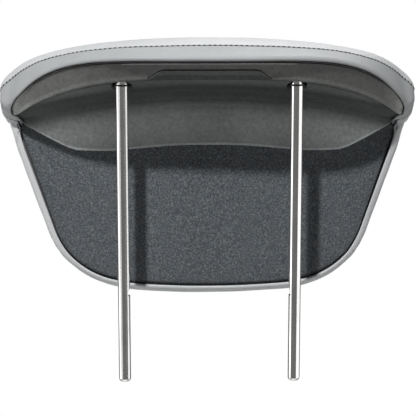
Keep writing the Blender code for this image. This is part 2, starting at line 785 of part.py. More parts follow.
def make_post_frame(finish):
    """Chrome rod with a locking notch on the inner side of each post."""
    rod = add_object("post_frame", rod_mesh("post_frame", POST_RADIUS, POST_TIP_Z), finish)
    face = POST_SPACING / 2.0 - POST_RADIUS
    for side in (-1.0, 1.0):
        bm = bmesh.new()
        profile = [
            (face - 0.002, STOP_SHOULDER_Z),
            (face + STOP_DEPTH, STOP_SHOULDER_Z),
            (face, STOP_SHOULDER_Z + STOP_RAMP),
            (face - 0.002, STOP_SHOULDER_Z + STOP_RAMP),
        ]
        near = [bm.verts.new((side * x, -2.0 * POST_RADIUS, z)) for x, z in profile]
        far = [bm.verts.new((side * x, 2.0 * POST_RADIUS, z)) for x, z in profile]
        for i in range(4):
            j = (i + 1) % 4
            bm.faces.new((near[i], near[j], far[j], far[i]))
        bm.faces.new(near)
        bm.faces.new(far)
        cut(rod, mesh_from(bm, "notch"))
    rod.data.set_sharp_from_angle(angle=math.radians(35.0))
    return rod


def make_collars(finish):
    """Thin rubber ring round each post where it leaves the underside."""
    inner = POST_RADIUS + GAP
    outer = inner + COLLAR_WALL
    low, top = COLLAR_Z, COLLAR_Z + COLLAR_HEIGHT
    profile = [(inner, low), (outer, low), (outer, top), (inner, top), (inner, low)]
    for name, side in (("post_collar_left", -1.0), ("post_collar_right", 1.0)):
        add_object(name, turned(name, (side * POST_SPACING / 2.0, 0.0), profile, ROD_SIDES), finish)


def carrier_section(u):
    """Closed outline of the carrier between the inner cover and the crossbar."""
    depth = 2.0 * SHELL_WALL + 3.5 * SLIP
    rear_line = left_of(gap_point(u), rear_edge_point(u), depth)
    ridge = ridge_point(u)
    foot = rear_edge_point(u)
    rise = 2.0 * (SHELL_WALL + 2.0 * SLIP) * math.hypot(1.0, UNDERSIDE_SLOPE)
    plane = ((foot[0], foot[1] + rise), (ridge[0], ridge[1] + rise))
    heel = meet(*rear_line, *plane)
    floor = ridge[1] + SHELL_WALL + 2.0 * SLIP
    knee = (ridge[0] + 0.002, floor)
    front = ridge[0] + CARRIER_FRONT_REACH
    top_rear = meet(*rear_line, (-FAR, CARRIER_TOP_Z), (FAR, CARRIER_TOP_Z))
    return [heel, knee, (front - 0.004, floor), (front, floor + 0.002), (front, CARRIER_TOP_Z), top_rear]


def make_carrier(finish):
    """Ribbed plastic carrier with an open channel for the crossbar."""
    sections = []
    for x in stations(CARRIER_HALF_LENGTH):
        sections.append((x, carrier_section(abs(x))))
    carrier = add_object("carrier", loft("carrier", sections), finish)
    reach = POST_RADIUS + GAP
    half = POST_SPACING / 2.0
    for side in (-1.0, 1.0):
        recess = [(POST_HOLE_RADIUS, -0.05), (POST_HOLE_RADIUS, RECESS_Z)]
        cut(carrier, turned("recess", (side * half, 0.0), recess, 24))
        boss = [(POST_HOLE_RADIUS - SLIP, RECESS_Z), (POST_HOLE_RADIUS - SLIP, CARRIER_TOP_Z - 0.005)]
        cut(carrier, turned("boss", (side * half, 0.0), boss, 24), "UNION")
    cut(carrier, rod_mesh("rod_room", reach, -0.05))
    channel_low = (-half, -reach, CROSSBAR_Z)
    channel_high = (half, reach, CROSSBAR_Z + 0.03)
    cut(carrier, box("channel", channel_low, channel_high))
    for side in (-1.0, 1.0):
        for i in range(POCKET_COUNT):
            start = 0.004 + POCKET_PITCH * i
            low_x, high_x = sorted((side * start, side * (start + POCKET_LENGTH)))
            ridge = ridge_point(start)
            front = ridge[0] + CARRIER_FRONT_REACH - 0.003
            floor = ridge[1] + SHELL_WALL + 2.0 * SLIP + POCKET_FLOOR
            low = (low_x, max(front - POCKET_WIDTH, reach + 0.003), floor)
            high = (high_x, front, CARRIER_TOP_Z + 0.01)
            cut(carrier, box("pocket", low, high))
        for y in (-screw_y(), screw_y()):
            hole = [(SCREW_RADIUS + GAP, CARRIER_TOP_Z - SCREW_LENGTH - 0.001), (SCREW_RADIUS + GAP, 0.05)]
            cut(carrier, turned("screw_hole", (side * SADDLE_X, y), hole, 16))
    carrier.data.set_sharp_from_angle(angle=math.radians(35.0))
    return carrier


def screw_y():
    """Distance of a saddle's screws from the crossbar."""
    return POST_RADIUS + GAP + SADDLE_WALL + 0.5 * SADDLE_FOOT - 0.001


def make_saddles(finish, screw_finish):
    """Two saddles that hold the crossbar in its channel, each with two screws."""
    reach = POST_RADIUS + GAP
    arch = reach + SADDLE_WALL
    foot_low = CARRIER_TOP_Z + GAP
    foot_high = foot_low + SADDLE_WALL
    arch_top = CROSSBAR_Z + arch
    outer = arch + SADDLE_FOOT
    for name, side in (("left", -1.0), ("right", 1.0)):
        profile = [(-outer, foot_low), (-reach, foot_low)]
        for i in range(1, 8):
            angle = math.pi * i / 8.0
            profile.append((-reach * math.cos(angle), max(CROSSBAR_Z + reach * math.sin(angle), foot_low)))
        profile += [(reach, foot_low), (outer, foot_low), (outer, foot_high), (arch, foot_high)]
        profile += [(arch - 0.002, arch_top), (-arch + 0.002, arch_top)]
        profile += [(-arch, foot_high), (-outer, foot_high)]
        tidy = [profile[0]]
        for point in profile[1:]:
            if math.dist(point, tidy[-1]) > 1e-5:
                tidy.append(point)
        centre = side * SADDLE_X
        sections = [(centre - SADDLE_LENGTH / 2.0, tidy), (centre + SADDLE_LENGTH / 2.0, tidy)]
        saddle = add_object(f"saddle_{name}", loft(f"saddle_{name}", sections), finish)
        for row, y in (("rear", -screw_y()), ("front", screw_y())):
            hole = [(SCREW_RADIUS + GAP, foot_low - 0.01), (SCREW_RADIUS + GAP, foot_high + 0.01)]
            cut(saddle, turned("hole", (centre, y), hole, 16))
            seat = foot_high + GAP
            profile_screw = [
                (SCREW_RADIUS, seat + SCREW_HEAD_HEIGHT - SCREW_LENGTH),
                (SCREW_RADIUS, seat),
                (SCREW_HEAD_RADIUS, seat),
                (SCREW_HEAD_RADIUS, seat + 0.6 * SCREW_HEAD_HEIGHT),
                (0.6 * SCREW_HEAD_RADIUS, seat + SCREW_HEAD_HEIGHT),
            ]
            screw = f"saddle_screw_{name}_{row}"
            add_object(screw, turned(screw, (centre, y), profile_screw, 16), screw_finish)


def make_hem_strip(finish):
    """Plastic strip sewn inside the band's lower hem, which hooks it to the core."""
    sections = []
    for x in stations(STRIP_TIP_SHARE * HALF_WIDTH):
        u = abs(x)
        inwards = into_pad(u)
        depth = SHELL_WALL + SLIP + GAP
        top = along_shell(u, STRIP_START)
        top = (top[0] + inwards[0] * depth, top[1] + inwards[1] * depth)
        run = shell_height(u) - FLANGE_HEIGHT - 2.0 * SLIP - STRIP_START
        down = along_shell(u, STRIP_START + max(min(run, STRIP_WIDTH), 0.0015))
        down = (down[0] + inwards[0] * depth, down[1] + inwards[1] * depth)
        loop = wall([top, down], STRIP_WALL, [0.0, 0.0], [0, 0])
        sections.append((x, [(closed_y(y, u), z) for y, z in loop]))
    return add_object("hem_strip", loft("hem_strip", sections), finish)


def main():
    for old in list(bpy.data.objects):
        bpy.data.objects.remove(old)
    leather = material("grey_leather", LEATHER_GREY, 0.5)
    fabric = material("charcoal_fabric", FABRIC_GREY, 0.9)
    shell = material("grey_shell_plastic", SHELL_GREY, 0.45)
    inner = material("dark_cover_plastic", COVER_GREY, 0.5)
    chrome = material("chrome", CHROME, 0.08, 1.0)
    foam = material("moulded_foam", FOAM_YELLOW, 0.95)
    board = material("fibre_board", BOARD_BROWN, 0.8)
    carrier = material("black_plastic", CARRIER_BLACK, 0.5)
    steel = material("zinc_steel", STEEL, 0.35, 1.0)
    strip = material("white_strip", STRIP_WHITE, 0.5)
    make_covers(leather)
    make_foam(foam)
    make_lining(fabric)
    make_board(board)
    make_rear_shell(shell)
    make_inner_cover(inner)
    make_post_frame(chrome)
    make_collars(carrier)
    make_carrier(carrier)
    make_saddles(steel, steel)
    make_hem_strip(strip)


main()
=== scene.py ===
"""Looks of the car headrest: leather covers with a stitched seam, lining, mouldings and chrome posts."""

import math
import random

import bmesh
import bpy
import numpy as np
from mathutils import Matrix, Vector
from mathutils.bvhtree import BVHTree
from mathutils.kdtree import KDTree


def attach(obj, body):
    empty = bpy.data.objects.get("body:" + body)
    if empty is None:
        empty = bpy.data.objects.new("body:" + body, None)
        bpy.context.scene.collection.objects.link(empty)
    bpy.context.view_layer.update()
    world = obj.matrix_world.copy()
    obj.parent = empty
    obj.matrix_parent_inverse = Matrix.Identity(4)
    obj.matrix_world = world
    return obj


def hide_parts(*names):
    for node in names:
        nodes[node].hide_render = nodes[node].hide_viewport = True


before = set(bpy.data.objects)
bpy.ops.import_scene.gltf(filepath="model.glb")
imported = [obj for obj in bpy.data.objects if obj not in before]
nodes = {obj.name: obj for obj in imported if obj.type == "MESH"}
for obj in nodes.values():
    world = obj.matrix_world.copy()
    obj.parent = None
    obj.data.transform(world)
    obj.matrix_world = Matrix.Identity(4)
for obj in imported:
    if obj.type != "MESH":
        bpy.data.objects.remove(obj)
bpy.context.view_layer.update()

# Outline of the pad, seen from behind, in metres
HALF_WIDTH = 0.1755
EAR_Z = -0.016
CROWN_RISE = 0.054
CROWN_POWER = 0.4
EAR_DEPTH = 0.023
EAR_ROUND = 0.0105
WAIST_X_INSET = 0.0085
WAIST_Z = -0.039
FLAP_BOTTOM_Z = -0.1825
FLAP_LEAN = math.radians(18.5)
FLAP_CORNER_RADIUS = 0.075
EDGING = 0.005

# Slight arc of the flap's lower edge
ARC_RISE = 0.0032
ARC_HALF_WIDTH = 0.080
ARC_TOP_Z = -0.150
ARC_FADE = 0.028

# Ends of the lining's hem and of the rear shell
HEM_Z = -0.0405
HEM_TIP = 0.157
SHELL_TIP = 0.1652

# Ear's tip: its depth, and the shares of the half width where sweeps level off and the ear closes
TIP_Y = 0.071
LEVEL_SHARE = 0.92
LEVEL_BLEND = 0.03
ROUND_START = 0.883

# Sweeps from the middle to the tips: start, change and power
LINING_Y = (0.048, 0.0204, 2.0)
GAP_Y = (-0.027, 0.0876, 2.9)
GAP_Z = (0.0228, -0.0598, 5.0)
REAR_EDGE_Y = (-0.016, 0.090, 3.25)
HEAD_SIDE_Y = (0.0, 0.019, 2.0)
CROWN_Y = (0.025, 0.045, 2.0)

# Side view of the pad
UNDERSIDE_SLOPE = math.tan(math.radians(29.0))
FOLD_OVERHANG = 0.0025
INNER_ABOVE_EDGE = 0.001
HEAD_LOW_Y = 0.070
HEAD_HIGH_Y = 0.080
HEAD_HIGH_DROP = 0.09
HEAD_BULGE = 0.004
SEAM_Y = -0.008
SEAM_Y_CHANGE = 0.0844
SEAM_TO_CROWN = 0.006
SEAM_HEIGHT_SHARE = 0.65
SEAM_HEIGHT_CHANGE = 0.17

# Corners of the side view: reach before, reach after and steps
SEAM_CORNER = (0.006, 0.006, 6)
FOLD_CORNER = (0.0016, 0.0016, 6)
REAR_CORNER = (0.003, 0.003, 4)
INNER_CORNER = (0.004, 0.004, 4)
MIDDLE_CORNER = (0.04, 0.04, 10)
HEAD_HIGH_CORNER = (0.032, 0.032, 12)
CROWN_CORNER = (0.018, 0.018, 8)
EDGING_REACH = 0.0045
EDGING_STEPS = 8
HEAD_LOW_REACH = 0.012
HEAD_LOW_STEPS = 10
LONGEST_REACH_SHARE = 0.49
SLOPE_STEP = 0.002
MOST_STRETCH = 3.2


def clamped(share):
    """A share held between 0 and 1."""
    return min(max(share, 0.0), 1.0)


def swept(start, sweep, power, u):
    """A depth that starts at the middle and sweeps forward, levelling off at the tip."""
    share = u / HALF_WIDTH
    if share > LEVEL_SHARE:
        share = LEVEL_SHARE + LEVEL_BLEND * math.tanh((share - LEVEL_SHARE) / LEVEL_BLEND)
    return start + sweep * share**power


def top_z(u):
    """Height of the crown at distance u from the middle."""
    share = min(u / HALF_WIDTH, 1.0)
    return EAR_Z + CROWN_RISE * (1.0 - share**2) ** CROWN_POWER


def flap_outline_z(u, inset):
    """Height of the flap's lower edge without its arc: level, a round corner, then a leaning side."""
    sine, cosine = math.sin(FLAP_LEAN), math.cos(FLAP_LEAN)
    centre_z = FLAP_BOTTOM_Z + FLAP_CORNER_RADIUS
    waist_x = HALF_WIDTH - WAIST_X_INSET
    centre_x = waist_x - (FLAP_CORNER_RADIUS + (WAIST_Z - centre_z) * sine) / cosine
    radius = FLAP_CORNER_RADIUS - inset
    if u <= centre_x:
        return centre_z - radius
    if u <= centre_x + radius * cosine:
        return centre_z - math.sqrt(radius**2 - (u - centre_x) ** 2)
    return centre_z - radius * sine + (u - centre_x - radius * cosine) * cosine / sine


def flap_z(u, inset=0.0):
    """Height of the flap's lower edge, or of a line at an inset inside it."""
    z = flap_outline_z(u, inset)
    low = clamped((ARC_TOP_Z - z) / ARC_FADE)
    return z + ARC_RISE * min(u / ARC_HALF_WIDTH, 1.0) ** 2 * low


def ear_z(u):
    """Height of the ear's lower edge."""
    share = clamped((u - (HALF_WIDTH - EAR_ROUND)) / EAR_ROUND)
    return EAR_Z - EAR_DEPTH * math.sqrt(1.0 - share**2)


def bottom_z(u):
    """Height of the pad's lowest edge at distance u from the middle."""
    return min(flap_z(u), ear_z(u))


def edge_stretch(u):
    """How much longer a roll of the lower edge is along Z than across the edge."""
    rise = (bottom_z(u + SLOPE_STEP) - bottom_z(u - SLOPE_STEP)) / (2.0 * SLOPE_STEP)
    return min(math.sqrt(1.0 + rise**2), MOST_STRETCH)


def closing(u):
    """Share of the depth that is left as the ear rounds off."""
    start = ROUND_START * HALF_WIDTH
    return math.sqrt(1.0 - clamped((u - start) / (HALF_WIDTH - start)) ** 2)


def closed_y(y, u):
    """A depth drawn in towards the ear's tip."""
    return TIP_Y + (y - TIP_Y) * closing(u)


def closed_z(z, u):
    """A height below the ear line drawn in towards the ear's tip."""
    if u <= HALF_WIDTH - EAR_ROUND:
        return z
    return EAR_Z + (z - EAR_Z) * (ear_z(u) - EAR_Z) / (-EAR_DEPTH)


def gap_point(u):
    """Upper edge of the rear shell."""
    return (swept(*GAP_Y, u), swept(*GAP_Z, u))


def rear_edge_point(u):
    """Lower edge of the rear shell."""
    y = swept(*REAR_EDGE_Y, u)
    return (y, -UNDERSIDE_SLOPE * y)


def fold_point(u):
    """Fold at the lower edge of the rear band."""
    top, low = gap_point(u), rear_edge_point(u)
    length = math.hypot(low[0] - top[0], low[1] - top[1])
    return tuple(a + (a - b) * FOLD_OVERHANG / length for a, b in zip(top, low))


def rounded(corners):
    """Round a YZ polygon: a corner is (y, z, reach before, reach after, steps)."""
    loop, marks = [], []
    count = len(corners)
    for i, (y, z, before, after, steps) in enumerate(corners):
        back, ahead = corners[i - 1], corners[(i + 1) % count]
        to_back = (back[0] - y, back[1] - z)
        to_ahead = (ahead[0] - y, ahead[1] - z)
        share_back = min(before / math.hypot(*to_back), LONGEST_REACH_SHARE)
        share_ahead = min(after / math.hypot(*to_ahead), LONGEST_REACH_SHARE)
        marks.append(len(loop) + steps // 2)
        for step in range(steps + 1):
            angle = 0.5 * math.pi * step / steps
            a = share_back * (1.0 - math.sin(angle))
            b = share_ahead * (1.0 - math.cos(angle))
            loop.append((y + to_back[0] * a + to_ahead[0] * b, z + to_back[1] * a + to_ahead[1] * b))
    return loop, marks


def pad_loop(u):
    """Dense YZ loop of the pad, its arc lengths and the places of its marks."""
    share = u / HALF_WIDTH
    top, low = top_z(u), bottom_z(u)
    fold = fold_point(u)
    fold = (fold[0], closed_z(fold[1], u))
    rear = rear_edge_point(u)
    rear = (rear[0], closed_z(rear[1], u))
    inner_y = swept(*LINING_Y, u)
    inner = (inner_y, max(closed_z(-UNDERSIDE_SLOPE * inner_y, u), low + INNER_ABOVE_EDGE))
    sweep = swept(*HEAD_SIDE_Y, u)
    head_low = (HEAD_LOW_Y + sweep, low)
    head_high = (HEAD_HIGH_Y + sweep, top - HEAD_HIGH_DROP * (top - low) * (1.0 - 0.5 * share))
    middle_y = 0.5 * (head_low[0] + head_high[0]) + HEAD_BULGE * closing(u)
    middle_z = 0.5 * (head_low[1] + head_high[1])
    crown_y = swept(*CROWN_Y, u)
    seam_y = min(SEAM_Y + SEAM_Y_CHANGE * share**3.0, crown_y - SEAM_TO_CROWN)
    seam_z = fold[1] + (top - fold[1]) * (SEAM_HEIGHT_SHARE + SEAM_HEIGHT_CHANGE * share**4)
    stretch = edge_stretch(u)
    loop, marks = rounded(
        [
            (seam_y, seam_z, *SEAM_CORNER),
            (*fold, *FOLD_CORNER),
            (*rear, *REAR_CORNER),
            (*inner, *INNER_CORNER),
            (inner_y, low, EDGING_REACH * stretch, EDGING_REACH, EDGING_STEPS),
            (*head_low, HEAD_LOW_REACH, HEAD_LOW_REACH * stretch, HEAD_LOW_STEPS),
            (middle_y, middle_z, *MIDDLE_CORNER),
            (*head_high, *HEAD_HIGH_CORNER),
            (crown_y, top, *CROWN_CORNER),
        ]
    )
    points = np.array([(closed_y(y, u), z) for y, z in loop + loop[:1]])
    lengths = np.concatenate([[0.0], np.cumsum(np.hypot(*np.diff(points, axis=0).T))])
    return points, lengths, marks


def along(points, lengths, s):
    """Points of a loop at the arc lengths s."""
    s = np.mod(s, lengths[-1])
    return np.stack([np.interp(s, lengths, points[:, k]) for k in (0, 1)], axis=-1)


def crossing(points, lengths, first, last, z):
    """Arc length between two marks where the loop crosses the height z, or the nearer end."""
    heights = points[first : last + 1, 1]
    for i in range(first, last):
        a, b = points[i, 1], points[i + 1, 1]
        if (a - z) * (b - z) <= 0.0 and a != b:
            return lengths[i] + (z - a) / (b - a) * (lengths[i + 1] - lengths[i])
    return lengths[first] if abs(heights[0] - z) < abs(heights[-1] - z) else lengths[last]


EDGE_ROWS = (0.0, 0.0004, 0.0008, 0.0013, 0.0020, 0.0030, 0.0045)
FEW_EDGE_ROWS = EDGE_ROWS[:4]
EDGE_ROW_SHARE = 0.2


def spread(low, high, count, near=(), far=()):
    """Arc lengths from low to high, with extra rows close to either end."""
    reach = EDGE_ROW_SHARE * (high - low)
    near = [min(d, reach * (i + 1) / max(len(near), 1)) for i, d in enumerate(near)]
    far = [min(d, reach * (i + 1) / max(len(far), 1)) for i, d in enumerate(far)]
    start = near[-1] if near else 0.0
    stop = far[-1] if far else 0.0
    middle = np.linspace(low + start, high - stop, count)
    return np.concatenate([[low + d for d in near[:-1]], middle, [high - d for d in reversed(far[:-1])]])


ANGLE_STEP = 0.36


def station_list():
    """Distances from the middle, from the left tip to the right one."""
    count = int(180.0 / ANGLE_STEP)
    shares = [math.sin(math.radians(-90.0 + 180.0 * (i + 0.5) / count)) for i in range(count)]
    stations = [share * HALF_WIDTH for share in shares]
    for tip in (HEM_TIP, SHELL_TIP):
        for side in (-1.0, 1.0):
            nearest = min(range(len(stations)), key=lambda i: abs(stations[i] - side * tip))
            stations[nearest] = side * tip
    return stations


NOISE_WAVES = 7
NOISE_SCALES = (0.6, 1.5)
NOISE_TURN = 6.28
NOISE_SPAN = 3.2


def soft_noise(p, scale, seed):
    """Smooth value between about -1 and 1 from a few waves in seeded directions."""
    rng = random.Random(seed)
    total = np.zeros(p.shape[:-1])
    for _ in range(NOISE_WAVES):
        direction = np.array([rng.gauss(0.0, 1.0) for _ in range(3)])
        direction *= scale * rng.uniform(*NOISE_SCALES) / np.linalg.norm(direction)
        total += np.sin(p @ direction + rng.uniform(0.0, NOISE_TURN))
    return total / NOISE_SPAN


LEAST_LENGTH = 1e-12
MERGE_DISTANCE = 1e-6


def normals_of(grid):
    """Unit normals of a grid of points."""
    n = np.cross(np.gradient(grid, axis=0), np.gradient(grid, axis=1))
    length = np.linalg.norm(n, axis=-1, keepdims=True)
    return n / np.maximum(length, LEAST_LENGTH)


def grid_mesh(name, grid, keep=None, flip=False):
    """Mesh of quads over a grid of points, keeping the cells that keep marks."""
    rows, columns = grid.shape[:2]
    faces = []
    for i in range(rows - 1):
        for j in range(columns - 1):
            if keep is not None and not keep[i, j]:
                continue
            corner = i * columns + j
            quad = (corner, corner + 1, corner + columns + 1, corner + columns)
            faces.append(quad[::-1] if flip else quad)
    mesh = bpy.data.meshes.new(name)
    mesh.from_pydata([tuple(p) for p in grid.reshape(-1, 3)], [], faces)
    bm = bmesh.new()
    bm.from_mesh(mesh)
    bmesh.ops.delete(bm, geom=[v for v in bm.verts if not v.link_faces], context="VERTS")
    bmesh.ops.remove_doubles(bm, verts=bm.verts, dist=MERGE_DISTANCE)
    bm.to_mesh(mesh)
    bm.free()
    mesh.shade_smooth()
    return mesh


def piece(name, mesh, finish, thickness=0.0):
    """Link a mesh as a piece of the object that rides with the part."""
    made = bpy.data.objects.new(name, mesh)
    bpy.context.scene.collection.objects.link(made)
    mesh.materials.append(finish)
    if thickness:
        wall = made.modifiers.new("wall", "SOLIDIFY")
        wall.thickness = thickness
        wall.offset = -1.0
    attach(made, "root")
    return made


# Materials


def shader(name):
    """New material with its node tree and principled shader."""
    made = bpy.data.materials.new(name)
    made.use_nodes = True
    return made, made.node_tree, made.node_tree.nodes["Principled BSDF"]


def coordinates(tree):
    """Object coordinates."""
    return tree.nodes.new("ShaderNodeTexCoord").outputs["Object"]


def add(tree, kind, inputs=None, **settings):
    """Add a node with its settings and unlinked input values."""
    node = tree.nodes.new(kind)
    for key, value in settings.items():
        setattr(node, key, value)
    for key, value in (inputs or {}).items():
        node.inputs[key].default_value = value
    return node


def ramp(tree, source, stops):
    """Colour ramp over a value, with stops of (place, colour)."""
    node = tree.nodes.new("ShaderNodeValToRGB")
    elements = node.color_ramp.elements
    for element, (place, colour) in zip(elements, (stops[0], stops[-1])):
        element.position = place
        element.color = (*colour, 1.0)
    for place, colour in stops[1:-1]:
        elements.new(place).color = (*colour, 1.0)
    tree.links.new(source, node.inputs["Fac"])
    return node.outputs["Color"]


def grey_ramp(tree, source, stops):
    """Colour ramp of greys, with stops of (place, brightness)."""
    return ramp(tree, source, [(place, (value, value, value)) for place, value in stops])


def between(tree, source, dark, light):
    """Colour that goes from dark to light over the middle of a noise value."""
    return ramp(tree, source, [(0.3, dark), (0.7, light)])


def multiplied(tree, a, b):
    """Product of two colours."""
    node = add(tree, "ShaderNodeMix", {"Factor": 1.0}, data_type="RGBA", blend_type="MULTIPLY")
    tree.links.new(a, node.inputs[6])
    tree.links.new(b, node.inputs[7])
    return node.outputs[2]


def levels(tree, source, low, high, start=0.3, stop=0.7):
    """Map a value from start to stop onto low to high."""
    ends = {"From Min": start, "From Max": stop, "To Min": low, "To Max": high}
    node = add(tree, "ShaderNodeMapRange", ends)
    tree.links.new(source, node.inputs["Value"])
    return node.outputs["Result"]


def noise(tree, place, scale, detail=3.0, roughness=0.55):
    """Noise value over object coordinates."""
    node = add(tree, "ShaderNodeTexNoise", {"Scale": scale, "Detail": detail, "Roughness": roughness})
    tree.links.new(place, node.inputs["Vector"])
    return node.outputs["Fac"]


def bump(tree, height, strength, distance, under=None):
    """Bump from a height, over another bump."""
    node = add(tree, "ShaderNodeBump", {"Strength": strength, "Distance": distance})
    tree.links.new(height, node.inputs["Height"])
    if under is not None:
        tree.links.new(under, node.inputs["Normal"])
    return node.outputs["Normal"]


def leather_material(name, dark, light):
    """Fine-grained light grey leather."""
    made, tree, skin = shader(name)
    place = coordinates(tree)
    broad = noise(tree, place, scale=14.0, detail=4.0)
    tree.links.new(between(tree, broad, dark, light), skin.inputs["Base Color"])
    cells = add(tree, "ShaderNodeTexVoronoi", {"Scale": 850.0}, feature="DISTANCE_TO_EDGE")
    tree.links.new(place, cells.inputs["Vector"])
    grain = levels(tree, cells.outputs["Distance"], 0.0, 1.0, start=0.0, stop=0.25)
    relief = bump(tree, grain, strength=0.28, distance=0.00025)
    pores = noise(tree, place, scale=2600.0, detail=2.0)
    relief = bump(tree, pores, strength=0.12, distance=0.0001, under=relief)
    waves = noise(tree, place, scale=60.0)
    relief = bump(tree, waves, strength=0.12, distance=0.0012, under=relief)
    tree.links.new(relief, skin.inputs["Normal"])
    gloss = noise(tree, place, scale=130.0, detail=2.0)
    tree.links.new(levels(tree, gloss, low=0.44, high=0.58), skin.inputs["Roughness"])
    skin.inputs["Specular IOR Level"].default_value = 0.42
    return made


YARN_STOPS = (
    (0.32, (0.066, 0.071, 0.076)),
    (0.48, (0.113, 0.121, 0.127)),
    (0.58, (0.160, 0.170, 0.178)),
    (0.70, (0.27, 0.28, 0.29)),
)
YARN_TINTS = ((0.38, (0.90, 0.95, 1.0)), (0.62, (1.0, 1.0, 1.0)))
KNIT = {"Scale": 420.0, "Distortion": 1.6, "Detail": 1.0}


def fabric_material():
    """Heather charcoal lining with speckled yarns in a fine knit."""
    made, tree, cloth = shader("heather_lining")
    place = coordinates(tree)
    speck = noise(tree, place, scale=760.0, detail=2.0, roughness=0.75)
    tint = ramp(tree, noise(tree, place, scale=190.0, detail=2.0), YARN_TINTS)
    tree.links.new(multiplied(tree, ramp(tree, speck, YARN_STOPS), tint), cloth.inputs["Base Color"])
    spin = add(tree, "ShaderNodeMapping", {"Rotation": (0.0, math.radians(90.0), 0.0)})
    tree.links.new(place, spin.inputs["Vector"])
    relief = None
    for way in (place, spin.outputs["Vector"]):
        yarns = add(tree, "ShaderNodeTexWave", KNIT, bands_direction="X")
        tree.links.new(way, yarns.inputs["Vector"])
        relief = bump(tree, yarns.outputs["Fac"], strength=0.5, distance=0.0003, under=relief)
    relief = bump(tree, speck, strength=0.5, distance=0.0003, under=relief)
    tree.links.new(relief, cloth.inputs["Normal"])
    tree.links.new(levels(tree, speck, low=0.85, high=0.98), cloth.inputs["Roughness"])
    cloth.inputs["Specular IOR Level"].default_value = 0.1
    cloth.inputs["Sheen Weight"].default_value = 0.1
    cloth.inputs["Sheen Roughness"].default_value = 0.5
    return made


# Mottle of the mouldings, then painted light and shade on them: start and stop of the range, then stops of
# (place, brightness)
MOTTLE = ((0.36, 0.84), (0.64, 1.16))
# Shell: painted light, lighter towards its ends where side light falls, darker in the middle
SHELL_PAINTED_LIGHT_ENDS = (0.120, 0.166, ((0.0, 0.32), (0.5, 0.35), (0.8, 0.60), (1.0, 1.15)))
# Cover: painted light, lighter towards its ends, which face the side light
COVER_PAINTED_LIGHT_ENDS = (0.070, 0.150, ((0.0, 0.92), (0.5, 1.10), (1.0, 1.40)))
# Cover's skirt: painted light, brightest across its middle, with painted shade towards its lower edge and
# its top
COVER_SKIRT_PAINTED_LIGHT_SHADE = ((0.0, 0.66), (0.13, 0.90), (0.32, 1.10), (0.46, 1.0), (0.556, 0.66))
# Cover's upper part: painted shade on the top of the skirt under the ridge and on the underside
COVER_TOP_PAINTED_SHADE = ((0.66, 0.24), (0.73, 0.16), (0.90, 0.10), (0.97, 0.24), (1.0, 0.26))
COVER_PAINTED_SHADE_HEIGHTS = (-0.056, 0.006, COVER_SKIRT_PAINTED_LIGHT_SHADE + COVER_TOP_PAINTED_SHADE)
# Bow of the line that the cover's painted shade follows, as its ridge does
COVER_BOW = 1.02
ROUGH_SPAN = 0.06


def shaded(tree, colour, value, shades):
    """A colour with painted light and shade: darkened or lightened by where a value lies in a range."""
    start, stop, stops = shades
    level = levels(tree, value, 0.0, 1.0, start, stop)
    return multiplied(tree, colour, grey_ramp(tree, level, stops))


def plastic_material(name, dark, light, rough, grain=1500.0, heights=None, ends=None):
    """Fine-textured moulded plastic, with painted light and shade by height and by distance from the middle
    where asked.
    """
    made, tree, skin = shader(name)
    place = coordinates(tree)
    colour = between(tree, noise(tree, place, scale=22.0, detail=4.0), dark, light)
    mottle = noise(tree, place, scale=330.0, detail=4.0, roughness=0.7)
    colour = multiplied(tree, colour, grey_ramp(tree, mottle, MOTTLE))
    split = tree.nodes.new("ShaderNodeSeparateXYZ")
    tree.links.new(place, split.inputs["Vector"])
    # Painted light and shade by height, along a line that bows like the cover's ridge
    if heights:
        square = add(tree, "ShaderNodeMath", operation="MULTIPLY")
        tree.links.new(split.outputs["X"], square.inputs[0])
        tree.links.new(split.outputs["X"], square.inputs[1])
        raised = add(tree, "ShaderNodeMath", {1: COVER_BOW}, operation="MULTIPLY_ADD")
        tree.links.new(square.outputs["Value"], raised.inputs[0])
        tree.links.new(split.outputs["Z"], raised.inputs[2])
        colour = shaded(tree, colour, raised.outputs["Value"], heights)
    # Painted light by distance from the middle
    if ends:
        side = add(tree, "ShaderNodeMath", operation="ABSOLUTE")
        tree.links.new(split.outputs["X"], side.inputs[0])
        colour = shaded(tree, colour, side.outputs["Value"], ends)
    tree.links.new(colour, skin.inputs["Base Color"])
    skin.inputs["Specular IOR Level"].default_value = 0.18
    relief = bump(tree, noise(tree, place, grain, roughness=0.6), strength=0.35, distance=0.00018)
    waves = noise(tree, place, scale=40.0, detail=2.0)
    relief = bump(tree, waves, strength=0.06, distance=0.001, under=relief)
    tree.links.new(relief, skin.inputs["Normal"])
    gloss = noise(tree, place, scale=300.0, detail=2.0)
    tree.links.new(levels(tree, gloss, rough - ROUGH_SPAN, rough + ROUGH_SPAN), skin.inputs["Roughness"])
    return made


def metal_material(name, dark, light, rough, scratch):
    """Metal with faint drawn lines and slight wear."""
    made, tree, skin = shader(name)
    place = coordinates(tree)
    drawn = add(tree, "ShaderNodeMapping", {"Scale": (1.0, 1.0, 0.04)})
    tree.links.new(place, drawn.inputs["Vector"])
    lines = noise(tree, drawn.outputs["Vector"], scale=900.0)
    wear = noise(tree, place, scale=35.0, detail=4.0)
    tree.links.new(between(tree, wear, dark, light), skin.inputs["Base Color"])
    tree.links.new(levels(tree, lines, rough, rough + scratch), skin.inputs["Roughness"])
    tree.links.new(bump(tree, lines, strength=0.04, distance=0.00004), skin.inputs["Normal"])
    skin.inputs["Metallic"].default_value = 1.0
    return made


def foam_material(name, dark, light):
    """Open-celled moulded foam."""
    made, tree, skin = shader(name)
    place = coordinates(tree)
    cells = add(tree, "ShaderNodeTexVoronoi", {"Scale": 700.0})
    tree.links.new(place, cells.inputs["Vector"])
    tree.links.new(between(tree, noise(tree, place, scale=12.0), dark, light), skin.inputs["Base Color"])
    relief = bump(tree, cells.outputs["Distance"], strength=0.5, distance=0.0006)
    tree.links.new(relief, skin.inputs["Normal"])
    rough = levels(tree, noise(tree, place, scale=90.0), low=0.88, high=0.98)
    tree.links.new(rough, skin.inputs["Roughness"])
    return made


